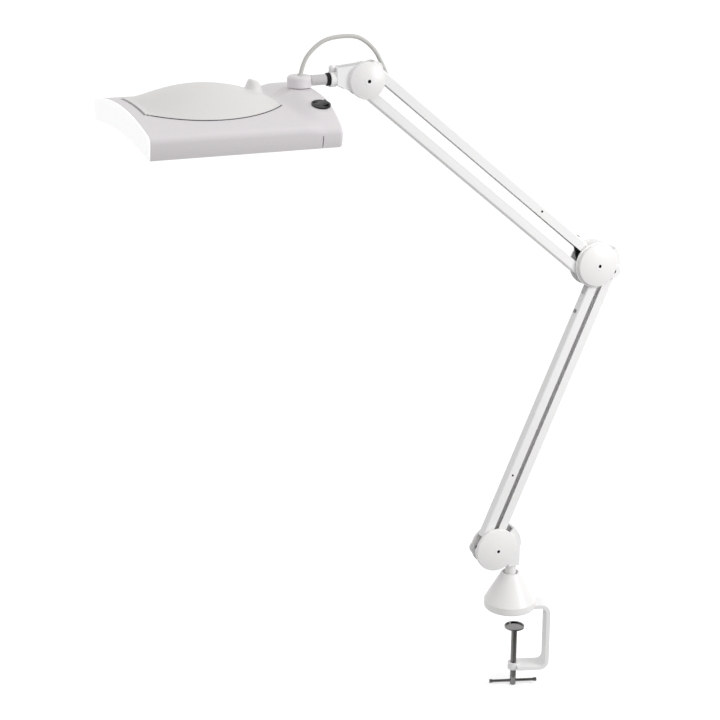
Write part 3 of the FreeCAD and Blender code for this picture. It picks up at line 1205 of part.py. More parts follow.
def head_frame():
    side = FOOT - s.head_wall - s.frame_gap
    low = s.head_belly - BELLY + root(BELLY * BELLY - side * side)
    left = s.end_cap_thick + s.frame_gap
    section = outline("FrameLine", [
        (-side, low), (side, low), (side, low + s.frame_thick), (-side, low + s.frame_thick)],
        {0: -BELLY, 2: BELLY}, plane="YZ", at=(left, 0, 0))
    plate = common("FramePlate", extrude("FrameRun", section, RIGHT - left),
                   bow("FrameBow", s.head_wall + s.frame_gap))
    seat_in = s.lens_inset - s.seat_gap
    seat = cut("SeatWall", cover_prism("SeatOuter", seat_in - s.seat_wall, 0, s.seat_top),
               cover_prism("SeatInner", seat_in, 0, s.seat_top))
    lip = cut("SeatLip", cover_prism("LipOuter", seat_in - s.seat_wall / 2, 0, s.lens_middle),
              cover_prism("LipInner", s.lens_inset + s.lens_lip, 0, s.lens_middle))
    low_ball = lens_balls("Seat", s.running_gap)[0]
    lens_room = common("LensRoom", low_ball, cover_prism("LensRoomPrism", seat_in))
    lip_under_lens = cut("LipUnderLens", lip, lens_room)
    window_end = s.window_start + WINDOW_LENGTH
    tall = s.board_rise + s.frame_thick / 2 - s.running_gap
    pillars = []
    for label, sign in (("Near", -1), ("Far", 1)):
        for end, x in (("Left", s.window_start - s.pillar_from_window),
                       ("Right", window_end + s.pillar_from_window)):
            pillar = rod(f"Pillar{label}{end}", s.pillar_radius, tall, (0, 0, 0))
            pillars.append(tilted(pillar, x, sign, -s.frame_thick / 2))
    body = fuse("FrameBody", plate, seat, lip_under_lens, *pillars)
    belly = rod("FrameBelly", BELLY, RIGHT, (0, 0, s.head_belly - BELLY), "x")
    tools = [cover_prism("FrameView", s.lens_inset + s.lens_lip), belly]
    for label, sign in (("Near", -1), ("Far", 1)):
        start = sign * WINDOW_Y - s.window_width / 2
        tools.append(block(f"Window{label}", (s.window_start, start, -s.head_belly),
                           (window_end, start + s.window_width, s.head_belly + s.frame_thick)))
    for name, x, y in BOSSES:
        tools.append(rod(f"FrameHole{name}", s.head_screw_radius, s.head_crown / 2, (x, y, -s.frame_thick)))
        tools.append(rod(f"FrameSpot{name}", s.head_screw_head, SPOT_FACE + s.frame_thick,
                         (x, y, -s.frame_thick)))
    in_head("head_frame", cut("HeadFrame", body, *tools))


def head_inside():
    in_head("end_cap", extrude("EndCap", head_section("EndCapLine", 0), s.end_cap_thick))
    low_ball, high_ball = lens_balls("Lens", 0)
    lens_body = common("LensBody", low_ball, high_ball)
    in_head("lens", common("Lens", cover_prism("LensPrism", s.lens_inset), lens_body))
    ring = cut("RetainerRing", cover_prism("RetainerOuter", s.lens_inset, s.lens_middle, s.seat_top),
               cover_prism("RetainerInner", s.lens_inset + s.retainer_width, s.lens_middle, s.seat_top))
    in_head("lens_retainer", cut("LensRetainer", ring, lens_balls("Retainer", s.running_gap)[1]))
    boards = []
    diffusers = []
    over = s.diffuser_overlap
    for label, sign in (("Near", -1), ("Far", 1)):
        length = WINDOW_LENGTH + 2 * s.board_overhang
        board = block(f"Board{label}", (0, 0, 0), (length, s.board_width, s.board_thick))
        boards.append(tilted(board, s.window_start - s.board_overhang, sign, s.board_rise, s.board_width))
        wide = s.window_width + 2 * over
        plate = block(f"Diffuser{label}", (0, 0, 0), (WINDOW_LENGTH + 2 * over, wide, s.diffuser_thick))
        diffusers.append(tilted(plate, s.window_start - over, sign, 3 * s.running_gap, wide))
    in_head("light_boards", fuse("LightBoards", *boards))
    in_head("diffusers", fuse("Diffusers", *diffusers))
    right, half = s.head_length - s.driver_from_right, s.driver_width / 2
    left, floor = right - s.driver_length, s.head_belly + s.frame_thick + s.running_gap
    box = outline("DriverLine", [(left, -half), (right, -half), (right, half), (left, half)], plane="XY",
                  at=(0, 0, floor))
    in_head("driver_box", extrude("DriverBox", box, s.driver_height))


def head_fasteners():
    roof = s.head_crown - s.head_wall
    low = roof - s.bolt_nut_height - 2
    top = s.block_crown + s.collar_gap + s.bolt_in_collar
    bolt = rod("SwivelBoltBlank", s.bolt_radius, top - low, (COLLAR_X, 0, low))
    bore = rod("SwivelBoltBore", s.bolt_bore, top - low, (COLLAR_X, 0, low))
    in_head("swivel_bolt", cut("SwivelBolt", bolt, bore))
    nut_at = (COLLAR_X, 0, roof - s.bolt_nut_height - 3 * s.running_gap)
    nut = hexagon("SwivelNutBlank", s.bolt_nut_radius, s.bolt_nut_height, nut_at)
    nut_hole = rod("SwivelNutHole", s.bolt_radius, s.bolt_nut_height, nut_at)
    in_head("swivel_nut", cut("SwivelNut", nut, nut_hole))
    screws = []
    for name, x, y in BOSSES:
        tall, thick = s.frame_thick + s.head_screw_length, s.head_screw_head_height
        shank = rod(f"HeadShank{name}", s.head_screw_radius, tall, (x, y, SPOT_FACE))
        head = rod(f"HeadHead{name}", s.head_screw_head, thick, (x, y, SPOT_FACE - thick))
        screws.append(fuse(f"HeadScrew{name}", shank, head))
    in_head("head_screws", fuse("HeadScrews", *screws))
    hinge = hinge_rods("HingePin", s.hinge_pin_radius, HINGE_START, s.hinge_pin_length)
    in_head("hinge_pins", fuse("HingePins", *hinge))


def switch():
    half, wide, gap = s.rocker_half, s.rocker_width / 2, s.rocker_gap
    reach = wide + gap + s.axle_reach
    plate = rod("BezelPlate", s.switch_radius, s.switch_sunk + s.switch_bezel, (0, 0, -s.switch_sunk))
    body = rod("BezelBody", s.switch_body_radius, s.switch_body_depth - s.switch_sunk,
               (0, 0, -s.switch_body_depth))
    pit = block("BezelPit", (-half - gap, -wide - gap, -s.rocker_pit),
                (half + gap, wide + gap, s.rocker_pit))
    play = s.running_gap
    bearing = rod("BezelBearing", s.axle_radius + play, 2 * (reach + play), (0, -reach - play, 0), "y")
    bezel = cut("SwitchBezel", fuse("BezelBlank", plate, body), pit, bearing)
    at = on_head(SWITCH_X, -SWITCH_Y, SWITCH_Z)
    slope = arcsine(SWITCH_SINE * cosine(s.head_roll) + SWITCH_COSINE * sine(s.head_roll))
    publish("switch_bezel", place(bezel, at, axis=X_AXIS, angle=slope))
    line = outline("RockerLine", [
        (-half, -s.rocker_low - 1), (-half / 3, -s.rocker_belly), (half / 3, -s.rocker_belly),
        (half, -s.rocker_low / 2), (half, s.rocker_high), (0, s.rocker_middle), (-half, -s.rocker_low)])
    key = extrude("RockerKey", line, s.rocker_width, both_ways=True)
    axle = rod("RockerAxle", s.axle_radius, 2 * reach, (0, -reach, 0), "y")
    publish("switch_rocker", place(fuse("SwitchRocker", key, axle), at, axis=X_AXIS, angle=slope))


def lens_cover():
    dome_top = s.head_crown + s.lid_dome_height
    centre = (LID_X, 0, dome_top - s.lid_dome_radius)
    blank = common("LidBlank", cover_prism("LidPrism", 0),
                   fuse("LidForm", ball("LidDome", s.lid_dome_radius, centre), arch("LidPlate", s.lid_lip)))
    shell = cut("LidShell", blank, arch("LidUnder", -s.lid_edge))
    hollow = common("LidHollow", cover_prism("LidHollowPrism", s.lid_rim),
                    ball("LidHollowDome", s.lid_dome_radius - s.lid_wall, centre))
    tab_low, top = s.head_crown - s.lid_edge / 2, s.tab_top_radius
    tab_line = outline("TabLine", [
        (0, tab_low), (s.tab_radius, tab_low), (top, s.tab_top - top), (0, s.tab_top)], {2: top})
    tab = place(spin("LidTab", tab_line), (LID_RIGHT - s.tab_from_right, 0, 0))
    lugs = hinge_rods("HingeLug", s.hinge_lug_radius, HINGE_START, s.hinge_lug)
    body = fuse("LidBody", cut("LidOpen", shell, hollow), tab, *lugs)
    long = s.hinge_pin_length + 2 * s.hinge_lug
    holes = hinge_rods("LidPinHole", s.hinge_pin_radius + s.running_gap, HINGE_START - s.hinge_lug, long)
    in_head("lens_cover", cut("LensCover", body, *holes))


# Lead

def tube(node, points, radius):
    """A lead through points: straight runs with tangent arcs between them."""
    spots = [FreeCAD.Vector(*point) for point in points]
    edges = []
    here = spots[0]
    tightest = None
    for before, corner, after in zip(spots, spots[1:], spots[2:]):
        back, ahead = before - corner, after - corner
        turn = math.pi - back.getAngle(ahead)
        step = 0.45 * min(back.Length, ahead.Length)
        bend = step / math.tan(turn / 2)
        tightest = bend if tightest is None else min(tightest, bend)
        start = corner + back.normalize() * step
        stop = corner + ahead.normalize() * step
        deep = bend * (1 / math.cos(turn / 2) - 1)
        inward = (back + ahead).normalize()
        edges.append(Part.makeLine(here, start))
        edges.append(Part.Arc(start, corner + inward * deep, stop).toShape())
        here = stop
    edges.append(Part.makeLine(here, spots[-1]))
    ring = Part.Wire(Part.makeCircle(radius, spots[0], spots[1] - spots[0]))
    piece = doc.addObject("Part::Feature", "".join(word.capitalize() for word in node.split("_")))
    piece.Shape = Part.Wire(edges).makePipeShell([ring], True, False)
    publish(node, piece)
    print(node, "tightest bend", round(tightest, 1), "lead radius", radius)


def lead():
    deep = s.gland_length.number - s.gland_bore.number + s.running_gap.number
    lean, roll = math.radians(s.gland_lean.number), math.radians(s.head_roll.number)
    foot = (SWIVEL_X + s.gland_offset).number, (COLLAR_Z + s.collar_height - s.gland_depth).number

    def from_gland(along):
        rise = foot[1] + along * math.cos(lean) - NECK_Z.number
        spot = foot[0] + along * math.sin(lean)
        return (spot, -rise * math.sin(roll), NECK_Z.number + rise * math.cos(roll))

    x, z = WRIST_TOP_PIN[0].number, WRIST_TOP_PIN[1].number
    rise = math.radians(s.upper_rise.number)

    def by_wrist(right, up):
        return (x + right, 0, z + up)

    def in_channel(along, off):
        return by_wrist(along * math.cos(rise) + off * math.sin(rise),
                        off * math.cos(rise) - along * math.sin(rise))

    before, top = (-55.9, 37.6), (-39.9, 38.3)
    after = [2 * b - a for a, b in zip(before, top)]
    wrist_run = [from_gland(deep), from_gland(deep + 15.5), by_wrist(-73.9, 26.6), by_wrist(*before),
                 by_wrist(*top)]
    arm_run = [by_wrist(*top), by_wrist(*after), by_wrist(-9.4, 32.2), by_wrist(3.1, 20.1),
               by_wrist(10.6, 6.1),
               in_channel(26, 1.2), in_channel(44, 1.2)]
    tube("head_lead", wrist_run, s.lead_radius.number)
    tube("arm_lead", arm_run, s.lead_radius.number)


def finish():
    """Works everything out, checks it and writes one file for each sub-part."""
    doc.recompute()
    for obj in doc.Objects:
        if "Invalid" in obj.State or "Error" in obj.State:
            raise RuntimeError(f"{obj.Label} did not build: {obj.State}")
    for node, obj in PARTS.items():
        if obj.Shape.isNull() or not obj.Shape.isValid() or not obj.Shape.Solids:
            raise RuntimeError(f"{node} is not a valid solid")
    os.makedirs("parts", exist_ok=True)
    for node, obj in PARTS.items():
        obj.Shape.exportStep(f"parts/{node}.step")
        print(node, "solids", len(obj.Shape.Solids), "volume", round(obj.Shape.Volume, 1))


clamp_frame()
clamp_screw_parts()
base_cover()
base_socket()
base_bracket()
elbow_bracket()
wrist_bracket()
arms()
neck()
head_shell()
head_frame()
head_inside()
head_fasteners()
switch()
lens_cover()
lead()
finish()
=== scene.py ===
# %% [markdown]
# # A magnifier lamp on a clamp
# The measured parts come from the CAD model: a clamp, two balanced arms, a wrist and a flat head with a
# large lens under a hinged cover. This script dresses them. It sets the camera where the photographer
# stood, lays the lead, models the pieces whose looks matter more than their fit, and gives every surface
# its finish.

import json
import math

import bpy
from mathutils import Matrix, Vector


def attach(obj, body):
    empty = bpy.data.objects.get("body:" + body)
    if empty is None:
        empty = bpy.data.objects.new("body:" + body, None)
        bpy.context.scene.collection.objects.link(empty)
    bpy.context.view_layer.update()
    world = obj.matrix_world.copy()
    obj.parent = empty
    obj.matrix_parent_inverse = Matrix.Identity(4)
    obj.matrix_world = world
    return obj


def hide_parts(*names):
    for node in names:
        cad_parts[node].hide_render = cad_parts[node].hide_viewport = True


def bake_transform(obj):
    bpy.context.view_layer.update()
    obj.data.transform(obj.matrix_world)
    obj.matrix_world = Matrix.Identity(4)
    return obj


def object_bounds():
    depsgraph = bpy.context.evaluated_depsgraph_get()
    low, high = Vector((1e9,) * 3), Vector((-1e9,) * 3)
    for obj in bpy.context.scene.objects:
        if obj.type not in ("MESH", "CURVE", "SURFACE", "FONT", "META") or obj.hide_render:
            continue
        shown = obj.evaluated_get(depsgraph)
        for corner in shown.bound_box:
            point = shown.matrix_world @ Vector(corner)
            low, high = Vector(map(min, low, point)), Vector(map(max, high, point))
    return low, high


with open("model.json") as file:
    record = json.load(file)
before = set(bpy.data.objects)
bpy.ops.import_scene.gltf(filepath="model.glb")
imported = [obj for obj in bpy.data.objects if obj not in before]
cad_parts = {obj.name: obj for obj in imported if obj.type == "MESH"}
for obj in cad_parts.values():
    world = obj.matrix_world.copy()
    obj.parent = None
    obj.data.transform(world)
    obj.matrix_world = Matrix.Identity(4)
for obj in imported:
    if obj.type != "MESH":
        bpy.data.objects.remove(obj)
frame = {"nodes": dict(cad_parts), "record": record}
nodes = frame["nodes"]
cad_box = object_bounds()
MM = 0.001
print("parts:", len(nodes), "box:", [round(float(side), 3) for corner in cad_box for side in corner])

# %% [markdown]
# ## Camera
# The photograph was taken from the left of the arms' plane and a little above, with a long lens. The
# camera is placed by its two angles and its distance from a point near the middle of the lamp, so that
# every angle can be read and changed. The lens is given in millimetres on a 36 mm wide square picture.

# %% Camera
LOOK_AT = Vector((-0.21424, 0.0, 0.36895))
CAMERA_AZIMUTH = math.radians(22.17)
CAMERA_ELEVATION = math.radians(17.82)
CAMERA_DISTANCE = 2.0679
LENS = 85
SENSOR = 36

away = Vector((-math.sin(CAMERA_AZIMUTH) * math.cos(CAMERA_ELEVATION),
               -math.cos(CAMERA_AZIMUTH) * math.cos(CAMERA_ELEVATION),
               math.sin(CAMERA_ELEVATION)))
bpy.ops.object.select_all(action="DESELECT")
bpy.ops.object.camera_add(location=LOOK_AT + away * CAMERA_DISTANCE,
                          rotation=away.to_track_quat("Z", "Y").to_euler())
camera = bpy.context.object
camera.data.lens = LENS
camera.data.sensor_width = SENSOR
bpy.context.scene.camera = camera
print("camera at", [round(side, 3) for side in camera.location])

# %% [markdown]
# ## Lead
# A lead leaves a gland on the swivel collar, arches over the wrist and goes into the upper arm. It is one
# lead in two runs, which meet at the top of the arch. Each run is a NURBS line led by a few points along
# the arch, given a round section and made a mesh.

# %% Lay the two runs of the lead
LEAD_DIAMETER = 4.8 * MM
GLAND = (-287.642, -0.176, 718.017)
ARCH_TOP = (-237.996, 0, 759.708)
INTO_ARM = (-177.380, 0, 705.651)
HEAD_RUN = [GLAND, (-284.313, -0.599, 733.150), (-271.996, 0, 748.008), (-253.996, 0, 759.008), ARCH_TOP]
ARM_RUN = [ARCH_TOP, (-221.996, 0, 760.408), (-207.496, 0, 753.608), (-194.996, 0, 741.508),
           (-187.496, 0, 727.508), INTO_ARM, (-163.571, 0, 694.105)]


def in_metres(spot):
    """A point given in millimetres, in the frame's metres."""
    return Vector(spot) * MM


def pick_only(*pieces):
    """Selects these objects and nothing else."""
    bpy.ops.object.select_all(action="DESELECT")
    for piece in pieces:
        piece.select_set(True)
    bpy.context.view_layer.objects.active = pieces[0]


def lead_run(name, route):
    """A round lead along a NURBS line, with the points and the length of that line."""
    line = bpy.data.curves.new(name, "CURVE")
    line.dimensions = "3D"
    line.resolution_u = 16
    spline = line.splines.new("NURBS")
    spline.points.add(len(route) - 1)
    for point, spot in zip(spline.points, route):
        point.co = (*in_metres(spot), 1.0)
    spline.order_u = 3
    spline.use_endpoint_u = True
    piece = bpy.data.objects.new(name, line)
    bpy.context.scene.collection.objects.link(piece)
    bpy.context.view_layer.update()
    centre = bpy.data.meshes.new_from_object(piece)
    path = [vertex.co.copy() for vertex in centre.vertices]
    bpy.data.meshes.remove(centre)
    line.bevel_depth = LEAD_DIAMETER / 2
    line.bevel_resolution = 6
    line.use_fill_caps = True
    pick_only(piece)
    bpy.ops.object.convert(target="MESH")
    bpy.ops.object.shade_smooth_by_angle(angle=math.radians(60))
    length = sum((b - a).length for a, b in zip(path, path[1:]))
    return piece, path, length


head_lead, head_path, head_length = lead_run("head_lead_run", HEAD_RUN)
arm_lead, arm_path, arm_length = lead_run("arm_lead_run", ARM_RUN)
print("lead:", round(head_length, 4), "+", round(arm_length, 4), "m")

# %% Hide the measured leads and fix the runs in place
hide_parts("head_lead")
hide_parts("arm_lead")
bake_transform(head_lead)
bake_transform(arm_lead)

# %% [markdown]
# ## Modelling by hand
# The next pieces are small turned, bent or wound parts. Each starts as a primitive and is shaped with the
# operators that a person would use in edit mode. Three moves come back often: picking corners by their
# place, drawing a line by extruding one corner, and turning that line about the Z axis. They become
# helpers, so that each piece below reads as the steps of its own making.

# %% Helpers for picking and cleaning


def select_where(piece, test):
    """Goes into edit mode with only those corners selected whose place passes a test."""
    pick_only(piece)
    bpy.ops.object.mode_set(mode="EDIT")
    bpy.ops.mesh.select_mode(type="VERT")
    bpy.ops.mesh.select_all(action="DESELECT")
    bpy.ops.object.mode_set(mode="OBJECT")
    for corner in piece.data.vertices:
        corner.select = bool(test(corner.co))
    bpy.ops.object.mode_set(mode="EDIT")


def apply_modifier(piece, kind, **settings):
    """Adds a modifier with its settings and applies it at once."""
    added = piece.modifiers.new(kind.title(), kind)
    for setting, value in settings.items():
        setattr(added, setting, value)
    pick_only(piece)
    bpy.ops.object.modifier_apply(modifier=added.name)


def clean(piece, sharp=30):
    """Welds a piece, turns its faces outwards and smooths all but its sharp edges."""
    select_where(piece, lambda place: True)
    bpy.ops.mesh.remove_doubles(threshold=0.002 * MM)
    bpy.ops.mesh.normals_make_consistent(inside=False)
    bpy.ops.object.mode_set(mode="OBJECT")
    pick_only(piece)
    bpy.ops.object.shade_smooth_by_angle(angle=math.radians(sharp))


def put_in_place(piece, spot, along, up):
    """Moves a piece modelled at the origin so that its X runs along one way and its Z along another."""
    x, z = Vector(along).normalized(), Vector(up).normalized()
    turn = Matrix((x, z.cross(x), z)).transposed().to_4x4()
    piece.matrix_world = Matrix.Translation(spot) @ turn
    pick_only(piece)
    bpy.ops.object.transform_apply(location=True, rotation=True, scale=True)


# %% Helpers for turned pieces


def drawn_line(name, spots):
    """A line through points given in millimetres from the axis and above the ground."""
    bpy.ops.object.select_all(action="DESELECT")
    bpy.ops.mesh.primitive_plane_add(size=MM, location=(0, 0, 0))
    piece = bpy.context.object
    piece.name = name
    places = [Vector((out, 0, up)) * MM for out, up in spots]
    bpy.ops.object.mode_set(mode="EDIT")
    bpy.ops.mesh.select_all(action="SELECT")
    bpy.ops.mesh.merge(type="CENTER")
    bpy.ops.transform.translate(value=places[0])
    for here, there in zip(places, places[1:]):
        bpy.ops.mesh.extrude_region_move(TRANSFORM_OT_translate={"value": there - here})
    bpy.ops.object.mode_set(mode="OBJECT")
    return piece


def turned(piece, steps, rise=0.0, turns=1):
    """Turns a piece about the Z axis as on a lathe, or along a helix if it rises."""
    apply_modifier(piece, "SCREW", axis="Z", steps=steps, render_steps=steps, screw_offset=rise,
                   iterations=turns)
    clean(piece)


def cut_away(piece, name, radius, length, spot, along):
    """Bores a round hole in a piece."""
    bpy.ops.object.select_all(action="DESELECT")
    bpy.ops.mesh.primitive_cylinder_add(vertices=32, radius=radius, depth=length)
    borer = bpy.context.object
    borer.name = name
    put_in_place(borer, spot, Vector(along).orthogonal(), along)
    apply_modifier(piece, "BOOLEAN", operation="DIFFERENCE", solver="EXACT", object=borer)
    bpy.data.objects.remove(borer)


# %% [markdown]
# ## Springs
# Each arm is balanced by a close-wound tension spring that lies in its main channel and shows in the gap
# at the channel's end. A spring could be drawn as a long helix curve; here one small ring of wire is
# turned along a helix by the Screw modifier, as a spring is wound on its mandrel.

# %% Wind the springs
SPRING_WIRE = 1.6
SPRING_RADIUS = 3.6
SPRING_PITCH = 1.76
SPRING_TURNS = 32
SPRING_FIRST = 46.4
WIRE_SIDES = 10
STEPS_A_TURN = 20
LOWER_LEAN = math.radians(23.8)
UPPER_RISE = math.radians(39.9)
ARM_STARTS = {"lower": (-47.5, 0, 90.5), "upper": (108.386, 0, 465.149)}
ARM_WAYS = {"lower": (math.sin(LOWER_LEAN), 0, math.cos(LOWER_LEAN)),
            "upper": (-math.cos(UPPER_RISE), 0, math.sin(UPPER_RISE))}
SIDEWAYS = Vector((0, 1, 0))


def along_arm(arm, distance):
    """A point on the middle line of an arm's main channel."""
    return in_metres(ARM_STARTS[arm]) + Vector(ARM_WAYS[arm]) * distance * MM


def wound_spring(arm):
    """The spring of one arm, wound at the origin and laid in its channel."""
    bpy.ops.object.select_all(action="DESELECT")
    bpy.ops.mesh.primitive_circle_add(vertices=WIRE_SIDES, radius=SPRING_WIRE / 2 * MM,
                                      location=(SPRING_RADIUS * MM, 0, 0), rotation=(math.pi / 2, 0, 0))
    spring = bpy.context.object
    spring.name = f"{arm}_wound_spring"
    bpy.ops.object.transform_apply(location=True, rotation=True, scale=True)
    turned(spring, STEPS_A_TURN, rise=SPRING_PITCH * MM, turns=SPRING_TURNS)
    select_where(spring, lambda place: True)
    bpy.ops.mesh.fill_holes(sides=0)
    bpy.ops.mesh.normals_make_consistent(inside=False)
    bpy.ops.object.mode_set(mode="OBJECT")
    put_in_place(spring, along_arm(arm, SPRING_FIRST), SIDEWAYS, ARM_WAYS[arm])
    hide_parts(f"{arm}_spring")
    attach(spring, f"{arm}_main")
    return spring


springs = [wound_spring("lower"), wound_spring("upper")]
print("springs:", [len(spring.data.polygons) for spring in springs], "faces")

# %% [markdown]
# ## Pull links
# A black link leads from the pin of each arm's second channel to its spring. Both channels of an arm turn
# by the same angle but slide along each other, so the link is in two pieces that meet inside the second
# channel: an eye that turns with that channel and a tongue that goes with the spring. It is a flat disc
# whose far half is pulled out to the spring, given a thickness and rounded edges, bored for its pin, and
# cut in two.

# %% Make the pull links
LINK_EYE = 5.5
LINK_TIP = 4.0
LINK_THICK = 3.0
LINK_ROUND = 0.5
LINK_SPLIT = 0.3
LINK_END = 39.05
PIN_BORE = 3.1
OTHER_PINS = {"lower": (-27.4, 0, 90.5), "upper": (91.481, 0, 445.002)}


def pull_link(arm):
    """The eye and the tongue of one arm's link."""
    eye, tip = in_metres(OTHER_PINS[arm]), along_arm(arm, LINK_END)
    span = (tip - eye).length
    bpy.ops.object.select_all(action="DESELECT")
    bpy.ops.mesh.primitive_circle_add(vertices=32, radius=LINK_EYE * MM, fill_type="NGON")
    link = bpy.context.object
    link.name = f"{arm}_link_eye"
    select_where(link, lambda place: place.x > 0.1 * MM)
    bpy.ops.transform.translate(value=(span, 0, 0))
    narrow = LINK_TIP / LINK_EYE
    bpy.ops.transform.resize(value=(narrow, narrow, 1), center_override=(span, 0, 0))
    bpy.ops.object.mode_set(mode="OBJECT")
    apply_modifier(link, "SOLIDIFY", thickness=LINK_THICK * MM, offset=0)
    apply_modifier(link, "BEVEL", width=LINK_ROUND * MM, segments=2, limit_method="ANGLE")
    cut_away(link, "link_borer", PIN_BORE * MM, 3 * LINK_THICK * MM, (0, 0, 0), (0, 0, 1))
    clean(link)
    put_in_place(link, eye, tip - eye, SIDEWAYS)
    tongue = link.copy()
    tongue.data = link.data.copy()
    tongue.name = f"{arm}_link_tongue"
    bpy.context.scene.collection.objects.link(tongue)
    for piece, body in ((link, f"{arm}_link"), (tongue, f"{arm}_main")):
        select_where(piece, lambda place: True)
        bpy.ops.mesh.bisect(plane_co=eye.lerp(tip, LINK_SPLIT), plane_no=tip - eye, use_fill=True,
                            clear_outer=piece is link, clear_inner=piece is tongue)
        bpy.ops.object.mode_set(mode="OBJECT")
        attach(piece, body)
    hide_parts(f"{arm}_pull_link")
    return [link, tongue]


links = pull_link("lower") + pull_link("upper")
print("pull links:", [[round(side, 4) for side in link.dimensions] for link in links])

# %% [markdown]
# ## Clamp screw
# The clamp screw has a two-start thread: one turn moves it by 3 mm, but its crests stand only 1.5 mm
# apart. The groove could be left to a bump texture, yet the outline of a screw shows it, so it is made.
# The line of one full turn is drawn and turned along a helix; two cuts give it flat ends, and a plain end
# with the hole for the bar is joined on below.

# %% Cut the thread
SCREW_AXIS = (7.172, -2.193)
CLAMP_TURN = math.radians(-17)
THREAD_CREST = 4.0
THREAD_ROOT = 3.35
THREAD_LEAD = 3.0
THREAD_TURNS = 26
THREAD_STEPS = 32
THREAD_LOW = -103.0
SCREW_TOP = -31.6
SCREW_END = -115.8
BAR_HOLE_Z = -110.5
BAR_HOLE_RADIUS = 2.15

one_start = [(THREAD_ROOT, 0.0), (THREAD_ROOT, 0.3), (THREAD_CREST, 0.75), (THREAD_CREST, 1.05)]
other_start = [(out, up + THREAD_LEAD / 2) for out, up in one_start]
turn_line = one_start + other_start + [(THREAD_ROOT, THREAD_LEAD)]
screw = drawn_line("threaded_screw", turn_line)
turned(screw, THREAD_STEPS, rise=THREAD_LEAD * MM, turns=THREAD_TURNS)
for height, away_from in ((THREAD_LEAD, -1), (THREAD_LEAD + SCREW_TOP - THREAD_LOW, 1)):
    select_where(screw, lambda place: True)
    bpy.ops.mesh.bisect(plane_co=(0, 0, height * MM), plane_no=(0, 0, away_from), use_fill=True,
                        clear_outer=True)
    bpy.ops.object.mode_set(mode="OBJECT")
put_in_place(screw, in_metres((*SCREW_AXIS, THREAD_LOW - THREAD_LEAD)), (1, 0, 0), (0, 0, 1))
print("thread:", len(screw.data.polygons), "faces,", round(screw.dimensions.z, 4), "m long")

# %% Join the plain end and bore it
PLAIN_OVERLAP = 0.4
PLAIN_CHAMFER = 0.6
BORER_LENGTH = 20.0

bpy.ops.object.select_all(action="DESELECT")
plain_length = THREAD_LOW + PLAIN_OVERLAP - SCREW_END
bpy.ops.mesh.primitive_cylinder_add(vertices=48, radius=THREAD_CREST * MM, depth=plain_length * MM,
                                    location=in_metres((*SCREW_AXIS, SCREW_END + plain_length / 2)))
plain_end = bpy.context.object
plain_end.name = "screw_plain_end"
bpy.ops.object.transform_apply(location=True, rotation=True, scale=True)
apply_modifier(plain_end, "BEVEL", width=PLAIN_CHAMFER * MM, segments=2, limit_method="ANGLE",
               angle_limit=math.radians(60))
apply_modifier(screw, "BOOLEAN", operation="UNION", solver="EXACT", object=plain_end)
bpy.data.objects.remove(plain_end)
cut_away(screw, "bar_borer", BAR_HOLE_RADIUS * MM, BORER_LENGTH * MM,
         in_metres((*SCREW_AXIS, BAR_HOLE_Z)), (math.cos(CLAMP_TURN), math.sin(CLAMP_TURN), 0))
clean(screw)
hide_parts("clamp_screw")
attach(screw, "screw")
print("clamp screw:", len(screw.data.polygons), "faces")

# %% [markdown]
# ## Socket screws of the discs
# Each cover disc is held by one screw with a hexagon socket. Its head is white like the disc; its socket
# is lined with a black cup, painted shade that makes the socket show as a dark dot. A six-sided prism is
# dished by an inset and an extrusion, so that it lines the socket.

# %% Line the sockets with painted shade
SOCKET_CENTRES = {"base": (-27.4, 90.5), "elbow": (104.786, 459.249), "wrist": (-209.696, 709.108)}
SOCKET_BODIES = {"base": "turret", "elbow": "elbow", "wrist": "wrist"}
SOCKET_RADIUS = 2.34
SOCKET_HEIGHT = 1.6
SOCKET_WALL = 0.35
SOCKET_DEPTH = 1.2
SOCKET_BOTTOM = 16.25


def socket_shade_cup(name):
    """A hexagonal cup of painted shade that stands on the origin."""
    bpy.ops.object.select_all(action="DESELECT")
    bpy.ops.mesh.primitive_cylinder_add(vertices=6, radius=SOCKET_RADIUS * MM, depth=SOCKET_HEIGHT * MM,
                                        location=(0, 0, SOCKET_HEIGHT / 2 * MM))
    shade_cup = bpy.context.object
    shade_cup.name = name
    bpy.ops.object.transform_apply(location=True, rotation=True, scale=True)
    select_where(shade_cup, lambda place: place.z > SOCKET_HEIGHT / 2 * MM)
    bpy.ops.mesh.inset(thickness=SOCKET_WALL * MM)
    bpy.ops.mesh.extrude_region_move(TRANSFORM_OT_translate={"value": (0, 0, -SOCKET_DEPTH * MM)})
    bpy.ops.object.mode_set(mode="OBJECT")
    clean(shade_cup)
    return shade_cup


socket_shade_cups = []
for joint, (x, z) in SOCKET_CENTRES.items():
    pair = []
    for side in (-1, 1):
        shade_cup = socket_shade_cup(f"{joint}_socket_shade_cup")
        put_in_place(shade_cup, in_metres((x, side * SOCKET_BOTTOM, z)), (1, 0, 0), (0, side, 0))
        pair.append(shade_cup)
    pick_only(*pair)
    bpy.ops.object.join()
    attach(pair[0], SOCKET_BODIES[joint])
    socket_shade_cups.append(pair[0])
print("socket linings:", [shade_cup.name for shade_cup in socket_shade_cups])

# %% [markdown]
# ## Friction ring and lock knob
# A fluted black ring grips the neck tube in front of the wrist, and a round white knob on the wrist's
# sleeve locks the neck. Both are turned from a drawn line. The ring then has two of every four rows of
# corners pressed in for its flutes.

# %% Turn the friction ring
RING_X = -256.4
NECK_Z = 711.708
FLUTES = 20
STEPS_A_FLUTE = 4
FLUTE_SHRINK = 0.93
FLUTE_FROM = 6.0
ring_line = [(5.15, 0.0), (7.1, 0.0), (7.55, 0.45), (7.55, 3.75), (7.1, 4.2), (5.15, 4.2), (5.15, 0.0)]
ring = drawn_line("fluted_ring", ring_line)
turned(ring, FLUTES * STEPS_A_FLUTE)


